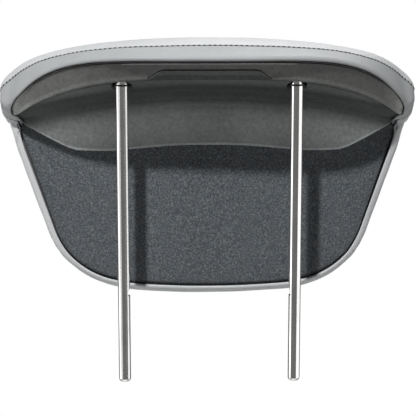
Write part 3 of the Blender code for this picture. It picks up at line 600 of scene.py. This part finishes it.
def thread_material(name, dark, light):
    """Twisted sewing thread."""
    made, tree, skin = shader(name)
    place = coordinates(tree)
    twist = add(tree, "ShaderNodeTexWave", {"Scale": 900.0, "Distortion": 0.6}, bands_direction="DIAGONAL")
    tree.links.new(place, twist.inputs["Vector"])
    tree.links.new(between(tree, noise(tree, place, scale=260.0), dark, light), skin.inputs["Base Color"])
    relief = bump(tree, twist.outputs["Fac"], strength=0.6, distance=0.0002)
    tree.links.new(relief, skin.inputs["Normal"])
    rough = levels(tree, noise(tree, place, scale=500.0), low=0.5, high=0.7)
    tree.links.new(rough, skin.inputs["Roughness"])
    return made


leather = leather_material("grained_leather", (0.575, 0.590, 0.605), (0.655, 0.665, 0.672))
# Band leather: the front's leather painted darker as shade, since the band faces down, away from the light
band_painted_shade_leather = leather_material("band_leather_with_painted_shade", (0.375, 0.390, 0.397), (0.435, 0.448, 0.452))
fabric = fabric_material()
# Shell plastic with painted light towards its ends
shell_plastic_painted_light = plastic_material(
    "grey_shell_with_painted_light", (0.400, 0.412, 0.396), (0.500, 0.510, 0.486), rough=0.5, ends=SHELL_PAINTED_LIGHT_ENDS
)
# Cover plastic with painted light and shade by side and by height
cover_plastic_painted_light_shade = plastic_material(
    "cover_with_painted_light_shade",
    (0.43, 0.456, 0.447),
    (0.53, 0.558, 0.548),
    rough=0.55,
    heights=COVER_PAINTED_SHADE_HEIGHTS,
    ends=COVER_PAINTED_LIGHT_ENDS,
)
# Web plastic painted dark as the shade under the cover
web_painted_shade = plastic_material("web_with_painted_shade", (0.085, 0.090, 0.088), (0.115, 0.120, 0.118), rough=0.6)
# Black plastic of the collars and carrier, also drawn as painted shadow lines in gaps
black_plastic_and_painted_shade = plastic_material("black_core_and_painted_shade", (0.020, 0.020, 0.022), (0.034, 0.034, 0.036), rough=0.5)
chrome = metal_material("chrome_plate", (0.76, 0.76, 0.755), (0.88, 0.875, 0.87), rough=0.13, scratch=0.05)
zinc = metal_material("zinc_plate", (0.46, 0.47, 0.50), (0.60, 0.60, 0.60), rough=0.28, scratch=0.15)
foam = foam_material("cell_foam", (0.10, 0.10, 0.105), (0.15, 0.15, 0.155))
board = plastic_material("fibre_board", (0.24, 0.17, 0.10), (0.36, 0.27, 0.17), rough=0.8, grain=700.0)
# Pale plastic of the hem strip, also drawn as a painted highlight on the shell's edge
pale_plastic_and_painted_highlight = plastic_material("pale_strip_and_painted_highlight", (0.62, 0.62, 0.60), (0.72, 0.72, 0.70), rough=0.5)
thread = thread_material("sewing_thread", (0.44, 0.45, 0.46), (0.58, 0.59, 0.60))
hole_shade = plastic_material("needle_hole_shade", (0.05, 0.05, 0.055), (0.09, 0.09, 0.095), rough=0.8)

# Finishes of the solids that stay, zinc where none is named
REPLACED = ("front_cover", "rear_band", "flap_lining")
FINISHES = {
    "foam_pad": foam,
    "flap_board": board,
    "rear_shell": shell_plastic_painted_light,
    "inner_cover": cover_plastic_painted_light_shade,
    "post_frame": chrome,
    "post_collar_left": black_plastic_and_painted_shade,
    "post_collar_right": black_plastic_and_painted_shade,
    "carrier": black_plastic_and_painted_shade,
    "hem_strip": pale_plastic_and_painted_highlight,
}
for name, node in nodes.items():
    if name not in REPLACED:
        node.data.materials.clear()
        node.data.materials.append(FINISHES.get(name, zinc))

# Grid over the whole pad: for each station, rows for the front cover, the lining and the rear band

# Seam: half its width, and how far it is shifted towards the fold, less so at the tips
SEAM_HALF = 0.00005
SEAM_SHIFT = 0.0024
SEAM_SHIFT_FADE = 0.9

# Lining and the tongue that joins the band to the flap's side
LINING_CORNER = 0.1606
TONGUE_END_Z = -0.0385
TONGUE_RUN = 0.0165
TONGUE_LEAST = 0.0004
TIP_MARGIN = 0.012

# Window in the leather that leaves the rear shell open
FOLD_REACH = 0.0017
WINDOW_ROUND = 0.1575
WINDOW_TIP_SHARE = 0.42
WINDOW_LEAST = 0.0002
LIP_TIP = 0.1622

# Webs at the window's corners
WEB_START = 0.1535
WEB_PAST_LIP = 0.0014
WEB_ABOVE = 0.0012
WEB_BELOW = 0.0006
WEB_SINK = 0.0006
WEB_WALL = 0.0008

# Rows of each part of the grid
FRONT_ROWS = 62
LINING_ROWS = 40
TONGUE_ROWS = 8
WINDOW_ROWS = 10
WEB_ROWS = 12
BAND_ROWS = 16


def placed(x, points, lengths, s):
    """Points in space of a station's loop at the arc lengths s."""
    return np.concatenate([np.full((len(s), 1), x), along(points, lengths, s)], axis=1)


def window_ends(u, fold_s, rear_s, end_s):
    """Arc lengths between which the leather leaves the rear shell and its lip open."""
    middle = fold_s + WINDOW_TIP_SHARE * (rear_s - fold_s)
    turn = clamped((u - WINDOW_ROUND) / (SHELL_TIP - WINDOW_ROUND))
    upper = middle - (middle - fold_s - FOLD_REACH) * math.sqrt(1.0 - turn**2)
    turn = clamped((u - LIP_TIP) / (SHELL_TIP - LIP_TIP))
    lower = middle + (rear_s - middle) * math.sqrt(1.0 - turn**2)
    lower += (end_s - rear_s) * clamped((LIP_TIP - u) / (LIP_TIP - HEM_TIP))
    return upper, max(lower, upper + WINDOW_LEAST)


def station_rows(x):
    """Rows of the front, lining, tongue, window, band and web at one station."""
    u = abs(x)
    points, lengths, marks = pad_loop(u)
    seam_s, fold_s, rear_s, inner_s = (lengths[marks[k]] for k in range(4))
    edge_s = inner_s
    if u < HALF_WIDTH - TIP_MARGIN:
        edge_s = max(crossing(points, lengths, marks[3], marks[4], flap_z(u, EDGING)), inner_s)
    hem_s = edge_s
    if flap_z(u, EDGING) < HEM_Z:
        hem_s = min(crossing(points, lengths, marks[3], marks[4], HEM_Z), edge_s)
    end_s = crossing(points, lengths, marks[3], marks[4], TONGUE_END_Z)
    fold_end, floor_s = window_ends(u, fold_s, rear_s, end_s)
    tongue_s = end_s + (rear_s - end_s) * clamped((u - HEM_TIP) / TONGUE_RUN)
    tongue_s = max(tongue_s, floor_s + TONGUE_LEAST)
    seam_s += SEAM_SHIFT * (1.0 - SEAM_SHIFT_FADE * (u / HALF_WIDTH) ** 3)
    start_s = tongue_s if u > LINING_CORNER else edge_s
    stop_s = lengths[-1] + seam_s - SEAM_HALF
    spreads = (
        spread(start_s, stop_s, FRONT_ROWS, FEW_EDGE_ROWS, EDGE_ROWS),
        spread(hem_s, edge_s, LINING_ROWS),
        spread(floor_s, tongue_s, TONGUE_ROWS, FEW_EDGE_ROWS, FEW_EDGE_ROWS),
        spread(fold_end, floor_s, WINDOW_ROWS),
        spread(seam_s + SEAM_HALF, fold_end, BAND_ROWS, EDGE_ROWS, FEW_EDGE_ROWS),
        spread(rear_s - WEB_ABOVE, end_s + WEB_BELOW, WEB_ROWS),
    )
    return [placed(x, points, lengths, s) for s in spreads]


stations = station_list()
front, lining, tongue, window, band, web = (
    np.array(rows) for rows in zip(*(station_rows(x) for x in stations))
)
xs = np.array(stations)
us = np.abs(xs)
HEAD_SIDE_ROW = 30
INWARD = normals_of(front)[len(xs) // 2, HEAD_SIDE_ROW, 1] < 0.0


def outwards(grid):
    """Normals that leave the pad."""
    n = normals_of(grid)
    return -n if INWARD else n


def gap_from(grid, row):
    """Distance of each point of a grid from one of its rows."""
    return np.linalg.norm(grid - grid[:, row][:, None], axis=-1)


def share_past(value, start, run):
    """How far values lie past a start, as a share of a run held between 0 and 1."""
    return np.clip((value - start) / run, 0.0, 1.0)


# Leather: how proud it stands, its unevenness as (scale, seed) and height, and its wall
PROUD = 0.0015
BROAD_WAVES, BROAD_HEIGHT = (42.0, 3), 0.00035
FINE_WAVES, FINE_HEIGHT = (120.0, 5), 0.00014
LEATHER_WALL = 0.0016

# Wrinkles round the ear's lower corner
WRINKLE_CENTRE = (0.162, 0.064, -0.036)
WRINKLE_SPOKES = 8.0
WRINKLE_TWIST = 300.0
WRINKLE_RING = 0.011
WRINKLE_WIDTH = 0.009
WRINKLE_HEIGHT = 0.0002

# Filling out of the flap's sides and settling of the shoulders
TIP_FADE = 0.0012
SIDE_START, SIDE_RUN = 0.110, 0.055
SIDE_TOP_Z, SIDE_TOP_FADE = -0.035, 0.030
SIDE_LOW_Z, SIDE_LOW_FADE = -0.160, 0.050
SIDE_FILL = 0.0022
SHOULDER_START, SHOULDER_RUN = 0.135, 0.030
SHOULDER_FADE = 0.024
SHOULDER_DROP = 0.0026

# Rolls of turned edges: reach and depth
SEAM_ROLL = (0.0020, 0.0003)
FRONT_EDGE_ROLL = (0.0014, 0.0010)
TONGUE_ROLL = (0.0012, 0.0007)
WINDOW_TOP_ROLL = (0.0014, 0.0008)
WINDOW_LOW_ROLL = (0.0010, 0.0006)
WINDOW_ROLL_FADE = 0.0015


def edge_roll(distance, reach, depth):
    """How far a wall dips at a turned edge."""
    return depth * np.clip(1.0 - distance / reach, 0.0, 1.0) ** 2


def corner_folds(grid):
    """Small gathered wrinkles round the lower corner of each ear."""
    x = np.abs(grid[..., 0]) - WRINKLE_CENTRE[0]
    y = grid[..., 1] - WRINKLE_CENTRE[1]
    z = grid[..., 2] - WRINKLE_CENTRE[2]
    away = np.sqrt(x**2 + y**2 + z**2)
    spokes = np.sin(np.arctan2(z, x) * WRINKLE_SPOKES + WRINKLE_TWIST * away)
    return WRINKLE_HEIGHT * (spokes * np.exp(-(((away - WRINKLE_RING) / WRINKLE_WIDTH) ** 2)))


def pulled(grid):
    """Slow unevenness of leather stretched over foam."""
    broad = soft_noise(grid, *BROAD_WAVES) * BROAD_HEIGHT
    fine = soft_noise(grid, *FINE_WAVES) * FINE_HEIGHT
    return PROUD + broad + fine + corner_folds(grid)


def dressed_grid(grid, lift):
    """Move a leather grid along its outward normals, then fill out its sides and settle its shoulders."""
    fade = np.clip((HALF_WIDTH - us) / TIP_FADE, 0.0, 1.0)[:, None]
    skin = grid + outwards(grid) * (lift * fade)[..., None]
    u, z = np.abs(grid[..., 0]), grid[..., 2]
    below = np.clip((SIDE_TOP_Z - z) / SIDE_TOP_FADE, 0.0, 1.0) * share_past(z, SIDE_LOW_Z, SIDE_LOW_FADE)
    below = below * below * (3.0 - 2.0 * below)
    outer = share_past(u, SIDE_START, SIDE_RUN) ** 2
    skin[..., 0] += np.sign(grid[..., 0]) * SIDE_FILL * outer * below
    above = share_past(z, EAR_Z, SHOULDER_FADE)
    skin[..., 2] -= SHOULDER_DROP * share_past(u, SHOULDER_START, SHOULDER_RUN) ** 2 * above
    return skin


# Cloth: a closed blank of the pad, inflated with its back held still, gives the head side its swell

BLANK_STATIONS = 72
BLANK_AROUND = 64
BLANK_ANGLE = 87.5
BLANK_SHRINK = 0.002
BLANK_VOXEL = 0.005
BLANK_PRESSURE = 4.0
LAST_FRAME = 20
HELD_DEPTH = 0.006
HELD_TOP_Z = 0.02
SWELL_CAP = 0.002
SWELL_FACING = 0.05
SWELL_NEIGHBOURS = 5
SWELL_NEAR = 0.002


def evaluated_points(made):
    """Vertex positions of an object after its modifiers."""
    graph = bpy.context.evaluated_depsgraph_get()
    mesh = made.evaluated_get(graph).to_mesh()
    points = np.empty(len(mesh.vertices) * 3)
    mesh.vertices.foreach_get("co", points)
    return points.reshape(-1, 3)


def closed_blank():
    """Mesh of the pad with closed ends."""
    bm = bmesh.new()
    loops = []
    for i in range(BLANK_STATIONS):
        angle = -BLANK_ANGLE + 2.0 * BLANK_ANGLE * i / (BLANK_STATIONS - 1)
        x = HALF_WIDTH * math.sin(math.radians(angle))
        points, lengths, _ = pad_loop(abs(x))
        spots = along(points, lengths, np.arange(BLANK_AROUND) * lengths[-1] / BLANK_AROUND)
        loops.append([bm.verts.new((x, y, z)) for y, z in spots])
    for near, far in zip(loops, loops[1:]):
        for i in range(BLANK_AROUND):
            j = (i + 1) % BLANK_AROUND
            bm.faces.new((near[i], near[j], far[j], far[i]))
    bm.faces.new(loops[0])
    bm.faces.new(loops[-1])
    bmesh.ops.recalc_face_normals(bm, faces=bm.faces)
    mesh = bpy.data.meshes.new("blank")
    bm.to_mesh(mesh)
    bm.free()
    return mesh


def inflated_blank():
    """Start and end positions of the inflated blank."""
    blank = bpy.data.objects.new("blank", closed_blank())
    bpy.context.scene.collection.objects.link(blank)
    remesh = blank.modifiers.new("remesh", "REMESH")
    remesh.mode = "VOXEL"
    remesh.voxel_size = BLANK_VOXEL
    graph = bpy.context.evaluated_depsgraph_get()
    even = bpy.data.meshes.new_from_object(blank.evaluated_get(graph))
    blank.modifiers.clear()
    blank.data = even
    held = blank.vertex_groups.new(name="held")
    for vertex in even.vertices:
        vertex.co -= vertex.normal * BLANK_SHRINK
    for vertex in even.vertices:
        x, y, z = vertex.co
        if z < HELD_TOP_Z and y < swept(*LINING_Y, min(abs(x), HALF_WIDTH)) + HELD_DEPTH:
            held.add([vertex.index], 1.0, "REPLACE")
    cloth = blank.modifiers.new("cloth", "CLOTH")
    cloth.settings.use_pressure = True
    cloth.settings.uniform_pressure_force = BLANK_PRESSURE
    cloth.settings.vertex_group_mass = "held"
    cloth.settings.effector_weights.gravity = 0.0
    cloth.point_cache.frame_start = 1
    cloth.point_cache.frame_end = LAST_FRAME
    scene = bpy.context.scene
    scene.frame_set(1)
    start = evaluated_points(blank)
    for step in range(2, LAST_FRAME + 1):
        scene.frame_set(step)
    end = evaluated_points(blank)
    bpy.data.objects.remove(blank)
    scene.frame_set(1)
    return start, end


def head_side_swell(grid):
    """How far the inflated blank pushes each point of the head side out."""
    swell = np.zeros(grid.shape[:2])
    start, end = inflated_blank()
    moves = end - start
    tree = KDTree(len(start))
    for i, point in enumerate(start):
        tree.insert(point, i)
    tree.balance()
    out = outwards(grid)
    for i, j in np.argwhere(out[..., 1] > SWELL_FACING):
        total = np.zeros(3)
        share = 0.0
        for _, index, distance in tree.find_n(grid[i, j], SWELL_NEIGHBOURS):
            total += moves[index] / (distance + SWELL_NEAR)
            share += 1.0 / (distance + SWELL_NEAR)
        push = float(total @ out[i, j]) / share
        swell[i, j] = min(max(push, 0.0), SWELL_CAP) * out[i, j, 1]
    return swell


front_lift = pulled(front) + head_side_swell(front)
front_lift -= edge_roll(gap_from(front, -1), *SEAM_ROLL) + edge_roll(gap_from(front, 0), *FRONT_EDGE_ROLL)
front_skin = dressed_grid(front, front_lift)
front_mesh = grid_mesh("front_leather", front_skin, flip=not INWARD)
front_piece = piece("front_leather", front_mesh, leather, LEATHER_WALL)
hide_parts("front_cover")

whole_band = np.concatenate([band, window[:, 1:-1], tongue], axis=1)
first, last = band.shape[1], band.shape[1] + window.shape[1] - 2
rows = np.arange(whole_band.shape[1])
band_lift = pulled(whole_band)
band_lift -= edge_roll(gap_from(whole_band, 0), *SEAM_ROLL)
band_lift -= edge_roll(gap_from(whole_band, -1), *TONGUE_ROLL)
turned = np.clip((SHELL_TIP - us) / WINDOW_ROLL_FADE, 0.0, 1.0)[:, None]
band_lift -= edge_roll(gap_from(whole_band, first - 1), *WINDOW_TOP_ROLL) * turned * (rows < first)
band_lift -= edge_roll(gap_from(whole_band, last), *WINDOW_LOW_ROLL) * turned * (rows >= last)
cells = np.ones((len(xs) - 1, whole_band.shape[1] - 1), bool)
both = np.maximum(us[:-1], us[1:])
cells[both <= SHELL_TIP + MERGE_DISTANCE, first - 1 : last] = False
cells[both <= HEM_TIP + MERGE_DISTANCE, last:] = False
band_skin = dressed_grid(whole_band, band_lift)
band_mesh = grid_mesh("band_leather", band_skin, cells, flip=not INWARD)
band_piece = piece("band_leather", band_mesh, band_painted_shade_leather, LEATHER_WALL)
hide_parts("rear_band")

# Webs that close the corners between the shell's tips, the inner cover and the leather, painted dark as the
# shade there
for name, side in (("corner_web_left", -1.0), ("corner_web_right", 1.0)):
    near = (side * xs > WEB_START) & (side * xs < LIP_TIP + WEB_PAST_LIP)
    web_mesh = grid_mesh(name, web[near] - outwards(web)[near] * WEB_SINK, flip=not INWARD)
    piece(name, web_mesh, web_painted_shade, WEB_WALL)

# Lining: a stretched woven panel that dips at its turned edge

LINING_SWELL, LINING_SWELL_REACH = 0.0009, 0.02
LINING_SINK = 0.0008
LINING_TURN, LINING_TURN_REACH = 0.0006, 0.003
LINING_WAVES, LINING_WAVE_HEIGHT = (55.0, 11), 0.00025
LINING_LEAN = 0.95
LINING_WALL = 0.0012

inside = us <= LINING_CORNER
panel = lining[inside]
edge = np.minimum(gap_from(panel, -1), (LINING_CORNER - np.abs(panel[..., 0])) * LINING_LEAN)
swell = LINING_SWELL * np.clip(edge / LINING_SWELL_REACH, 0.0, 1.0) - LINING_SINK
swell -= LINING_TURN * np.clip(1.0 - edge / LINING_TURN_REACH, 0.0, 1.0)
swell += soft_noise(panel, *LINING_WAVES) * LINING_WAVE_HEIGHT
lining_skin = panel + outwards(lining)[inside] * swell[..., None]
lining_mesh = grid_mesh("woven_lining", lining_skin, flip=not INWARD)
cloth_piece = piece("woven_lining", lining_mesh, fabric, LINING_WALL)
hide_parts("flap_lining")


def tube(points, radii, ups, sides=6, flat=1.0):
    """Vertices and faces of a closed tube along points, flattened along its up vectors."""
    verts, faces = [], []
    for i, p in enumerate(points):
        ahead = points[min(i + 1, len(points) - 1)] - points[max(i - 1, 0)]
        side = np.cross(ahead, ups[i])
        side /= np.linalg.norm(side)
        up = np.cross(side, ahead)
        up *= flat / np.linalg.norm(up)
        for k in range(sides):
            a = 2.0 * math.pi * k / sides
            verts.append(p + radii[i] * (side * math.cos(a) + up * math.sin(a)))
    for i in range(len(points) - 1):
        for k in range(sides):
            m = (k + 1) % sides
            faces.append((i * sides + k, i * sides + m, (i + 1) * sides + m, (i + 1) * sides + k))
    faces.append(tuple(reversed(range(sides))))
    faces.append(tuple(range((len(points) - 1) * sides, len(points) * sides)))
    return verts, faces


def tubes_piece(name, parts, finish):
    """One piece made of several closed tubes."""
    verts, faces = [], []
    for part_verts, part_faces in parts:
        base = len(verts)
        verts += part_verts
        faces += [tuple(base + k for k in face) for face in part_faces]
    mesh = bpy.data.meshes.new(name)
    mesh.from_pydata([tuple(v) for v in verts], [], faces)
    mesh.shade_smooth()
    return piece(name, mesh, finish)


def resample(path, extra, pitch):
    """Points and companion vectors at an even pitch along a path."""
    steps = np.linalg.norm(np.diff(path, axis=0), axis=1)
    s = np.concatenate([[0.0], np.cumsum(steps)])
    count = int(s[-1] / pitch)
    at = (np.arange(count) + 0.5) * s[-1] / count
    points = np.stack([np.interp(at, s, path[:, k]) for k in range(3)], axis=1)
    vectors = np.stack([np.interp(at, s, extra[:, k]) for k in range(3)], axis=1)
    return points, vectors / np.linalg.norm(vectors, axis=1, keepdims=True), s[-1] / count


# Stitches: pale threads on the seam with needle holes between them, dark pits of painted shade

STITCH_PITCH = 0.0042
STITCH_SEED = 5
THREAD_ARC = (
    (-1.0, -0.9), (-0.75, -0.2), (-0.35, 0.12), (0.0, 0.2), (0.35, 0.12), (0.75, -0.2), (1.0, -0.9)
)
THREAD_RADII = (0.00034, 0.00046, 0.00052, 0.00052, 0.00052, 0.00046, 0.00034)
THREAD_HALF_SHARE = 0.29
THREAD_LENGTHS = (0.94, 1.06)
THREAD_LIFT = 0.00045
THREAD_RISE = 0.00045
HOLE_STEPS = (-1.0, -0.75, -0.3, 0.3, 0.75, 1.0)
HOLE_RADII = (0.00015, 0.00065, 0.00090, 0.00090, 0.00065, 0.00015)
HOLE_HALF = 0.00115
HOLE_LENGTHS = (0.9, 1.1)
HOLE_LIFT = 0.0004
HOLE_SIDES = 10
HOLE_FLAT = 0.5
TONGUE_CLEAR = 0.0012
LEVEL_ROW = -5

seam_line = 0.5 * (front_skin[:, -1] + band_skin[:, 0])
seam_out = outwards(front)[:, LEVEL_ROW]
low_line = band_skin[:, -1]
low_out = outwards(whole_band)[:, LEVEL_ROW]
past_hem = us > HEM_TIP + TONGUE_CLEAR
right, left = past_hem & (xs > 0.0), past_hem & (xs < 0.0)
path = np.concatenate([low_line[left][::-1], seam_line[1:-1], low_line[right][::-1]])
outs = np.concatenate([low_out[left][::-1], seam_out[1:-1], low_out[right][::-1]])
centres, ups, pitch = resample(path, outs, STITCH_PITCH)
threads, holes = [], []
rng = random.Random(STITCH_SEED)
for i in range(1, len(centres) - 1):
    ahead = centres[i + 1] - centres[i - 1]
    ahead /= np.linalg.norm(ahead)
    half = THREAD_HALF_SHARE * pitch * rng.uniform(*THREAD_LENGTHS)
    arc = [
        centres[i] + ahead * half * t + ups[i] * (THREAD_LIFT + THREAD_RISE * rise) for t, rise in THREAD_ARC
    ]
    threads.append(tube(arc, THREAD_RADII, [ups[i]] * len(arc)))
    middle = 0.5 * (centres[i] + centres[i + 1]) + ups[i] * HOLE_LIFT
    size = rng.uniform(*HOLE_LENGTHS)
    pit = [middle + ahead * HOLE_HALF * size * t for t in HOLE_STEPS]
    holes.append(tube(pit, HOLE_RADII, [ups[i]] * len(pit), HOLE_SIDES, HOLE_FLAT))
tubes_piece("seam_stitches", threads, thread)
tubes_piece("needle_holes", holes, hole_shade)

# Lines of the rear shell: a painted shadow in the gap under the fold, a rolled edge below it painted pale as
# a highlight, a painted shadow along the notch, and the notch's rim

shell_mesh = nodes["rear_shell"].data
shell_faces = BVHTree.FromPolygons(
    [vertex.co for vertex in shell_mesh.vertices], [face.vertices for face in shell_mesh.polygons]
)
TOWARDS = Vector((0.0, 1.0, 0.0))
START_Y = -0.06
LINE_UP = np.array((0.0, -1.0, 0.2))
LINE_SIDES = 8
TAPER_LEAST = 0.15
TAPER_STEPS = 8.0
SHELL_LINE_STEPS = 160
SHELL_LINE_MOVE = np.array((0.0, -0.0001, 0.0))
NOTCH_HALF = 0.0495
NOTCH_STEPS = 120
NOTCH_LOW_Z, NOTCH_HIGH_Z, NOTCH_Z_STEP = 0.004, 0.021, 0.0002
NOTCH_FACE_DEPTH = 0.0015
NOTCH_LINE_SINK = 0.0003


def tapered(radius, count):
    """Radii of a line that thins out at both ends."""
    from_end = [min(i, count - 1 - i) for i in range(count)]
    return [radius * min(1.0, TAPER_LEAST + steps / TAPER_STEPS) for steps in from_end]


def line_piece(name, line, radius, finish):
    """Thin raised line along points."""
    part = tube(line, tapered(radius, len(line)), [LINE_UP] * len(line), LINE_SIDES)
    return tubes_piece(name, [part], finish)


def on_shell(x, z):
    """Point of the shell that a ray along +Y meets, or None."""
    return shell_faces.ray_cast(Vector((x, START_Y, z)), TOWARDS)[0]


def shell_line(reach, below):
    """Points that follow the shell's upper edge at a distance below it."""
    line = []
    for x in np.linspace(-reach, reach, SHELL_LINE_STEPS):
        top, low = gap_point(abs(x)), rear_edge_point(abs(x))
        length = math.hypot(low[0] - top[0], low[1] - top[1])
        hit = on_shell(x, top[1] + (low[1] - top[1]) * below / length)
        if hit is not None:
            line.append(np.array(hit) + SHELL_LINE_MOVE)
    return line


def notch_line(drop):
    """Points along the notch in the shell's lower edge, moved down by a drop."""
    line = []
    for x in np.linspace(-NOTCH_HALF, NOTCH_HALF, NOTCH_STEPS):
        for z in np.arange(NOTCH_LOW_Z, NOTCH_HIGH_Z, NOTCH_Z_STEP):
            hit = on_shell(x, z)
            if hit is not None and hit.y < rear_edge_point(abs(x))[0] + NOTCH_FACE_DEPTH:
                line.append(np.array(hit) + np.array((0.0, NOTCH_LINE_SINK, -drop)))
                break
    return line


# Dark line under the fold: painted shadow
line_piece("fold_painted_shadow", shell_line(reach=0.150, below=0.0021), 0.00045, black_plastic_and_painted_shade)
# Pale line: painted highlight on the shell's rolled edge
line_piece("shell_edge_painted_highlight", shell_line(reach=0.070, below=0.0030), 0.0004, pale_plastic_and_painted_highlight)
# Dark line along the notch: painted shadow
line_piece("notch_painted_shadow", notch_line(drop=0.0003), 0.0004, black_plastic_and_painted_shade)
line_piece("notch_rim", notch_line(drop=0.0012), 0.0005, shell_plastic_painted_light)

# Camera, lights and floor

TARGET = Vector((-0.0012, 0.0, -0.100))
DISTANCE = 1.2
ELEVATION = 11.2
AZIMUTH = -1.2
LENS = 127.0
SENSOR = 36.0


def direction(azimuth, elevation):
    """Unit vector from the part towards an azimuth and elevation in degrees."""
    a, e = math.radians(azimuth), math.radians(elevation)
    return Vector((math.sin(a) * math.cos(e), -math.cos(a) * math.cos(e), math.sin(e)))


camera_data = bpy.data.cameras.new("camera")
camera_data.lens = LENS
camera_data.sensor_width = SENSOR
camera = bpy.data.objects.new("camera", camera_data)
bpy.context.scene.collection.objects.link(camera)
back = direction(AZIMUTH, ELEVATION)
camera.location = TARGET + back * DISTANCE
camera.rotation_mode = "QUATERNION"
camera.rotation_quaternion = (-back).to_track_quat("-Z", "Y")
bpy.context.scene.camera = camera

# Area lights: azimuth and elevation in degrees, distance, width, height and power
LIT_POINT = Vector((0.0, 0.03, -0.08))
LIGHTS = {
    "key": (-17.0, 52.3, 2.2, 0.09, 0.09, 49.0),
    "rim": (180.0, 66.0, 2.0, 1.2, 0.6, 4.0),
    "front_fill": (165.0, 40.0, 2.4, 1.2, 1.2, 13.0),
    "left_panel": (-62.0, -4.0, 1.8, 0.36, 1.5, 1.6),
    "right_panel": (60.0, -4.0, 1.8, 0.36, 1.5, 2.0),
    "left_side": (-92.0, -14.0, 1.6, 1.3, 1.3, 9.0),
    "right_side": (92.0, -14.0, 1.6, 1.3, 1.3, 6.0),
    "low_front": (0.0, -50.0, 1.0, 0.8, 0.4, 0.8),
}
for name, (azimuth, elevation, distance, width, height, power) in LIGHTS.items():
    light = bpy.data.lights.new(name, "AREA")
    light.shape = "RECTANGLE"
    light.size = width
    light.size_y = height
    light.energy = power
    lamp = bpy.data.objects.new(name, light)
    bpy.context.scene.collection.objects.link(lamp)
    away = direction(azimuth, elevation)
    lamp.location = LIT_POINT + away * distance
    lamp.rotation_mode = "QUATERNION"
    lamp.rotation_quaternion = away.to_track_quat("Z", "Y")

# World: almost black for soft light, grey in mirrored rays and white behind the part
SKY_COLOUR = (0.01, 0.01, 0.01, 1.0)
MIRRORED_COLOUR = (0.16, 0.16, 0.156, 1.0)
BACKDROP_COLOUR = (1.0, 1.0, 1.0, 1.0)

world = bpy.data.worlds.new("studio")
world.use_nodes = True
tree = world.node_tree
sky = tree.nodes["Background"]
sky.inputs["Color"].default_value = SKY_COLOUR
seen = tree.nodes.new("ShaderNodeLightPath")
result = sky.outputs["Background"]
for ray, colour in (("Is Glossy Ray", MIRRORED_COLOUR), ("Is Camera Ray", BACKDROP_COLOUR)):
    backdrop = add(tree, "ShaderNodeBackground", {"Color": colour, "Strength": 1.0})
    mixed = tree.nodes.new("ShaderNodeMixShader")
    tree.links.new(seen.outputs[ray], mixed.inputs[0])
    tree.links.new(result, mixed.inputs[1])
    tree.links.new(backdrop.outputs["Background"], mixed.inputs[2])
    result = mixed.outputs["Shader"]
tree.links.new(result, tree.nodes["World Output"].inputs["Surface"])
bpy.context.scene.world = world
bpy.context.scene.view_settings.view_transform = "Standard"

FLOOR_Z = -0.9
FLOOR_RADIUS = 0.85
FLOOR_SIDES = 96

floor_finish, tree, skin = shader("pale_floor")
patches = noise(tree, coordinates(tree), scale=3.0)
tree.links.new(grey_ramp(tree, patches, [(0.3, 0.72), (0.7, 0.76)]), skin.inputs["Base Color"])
skin.inputs["Roughness"].default_value = 0.8
floor_mesh = bpy.data.meshes.new("floor")
bm = bmesh.new()
bmesh.ops.create_circle(bm, cap_ends=True, segments=FLOOR_SIDES, radius=FLOOR_RADIUS)
bm.to_mesh(floor_mesh)
bm.free()
floor_mesh.materials.append(floor_finish)
floor = bpy.data.objects.new("floor", floor_mesh)
floor.location = (0.0, 0.0, FLOOR_Z)
bpy.context.scene.collection.objects.link(floor)
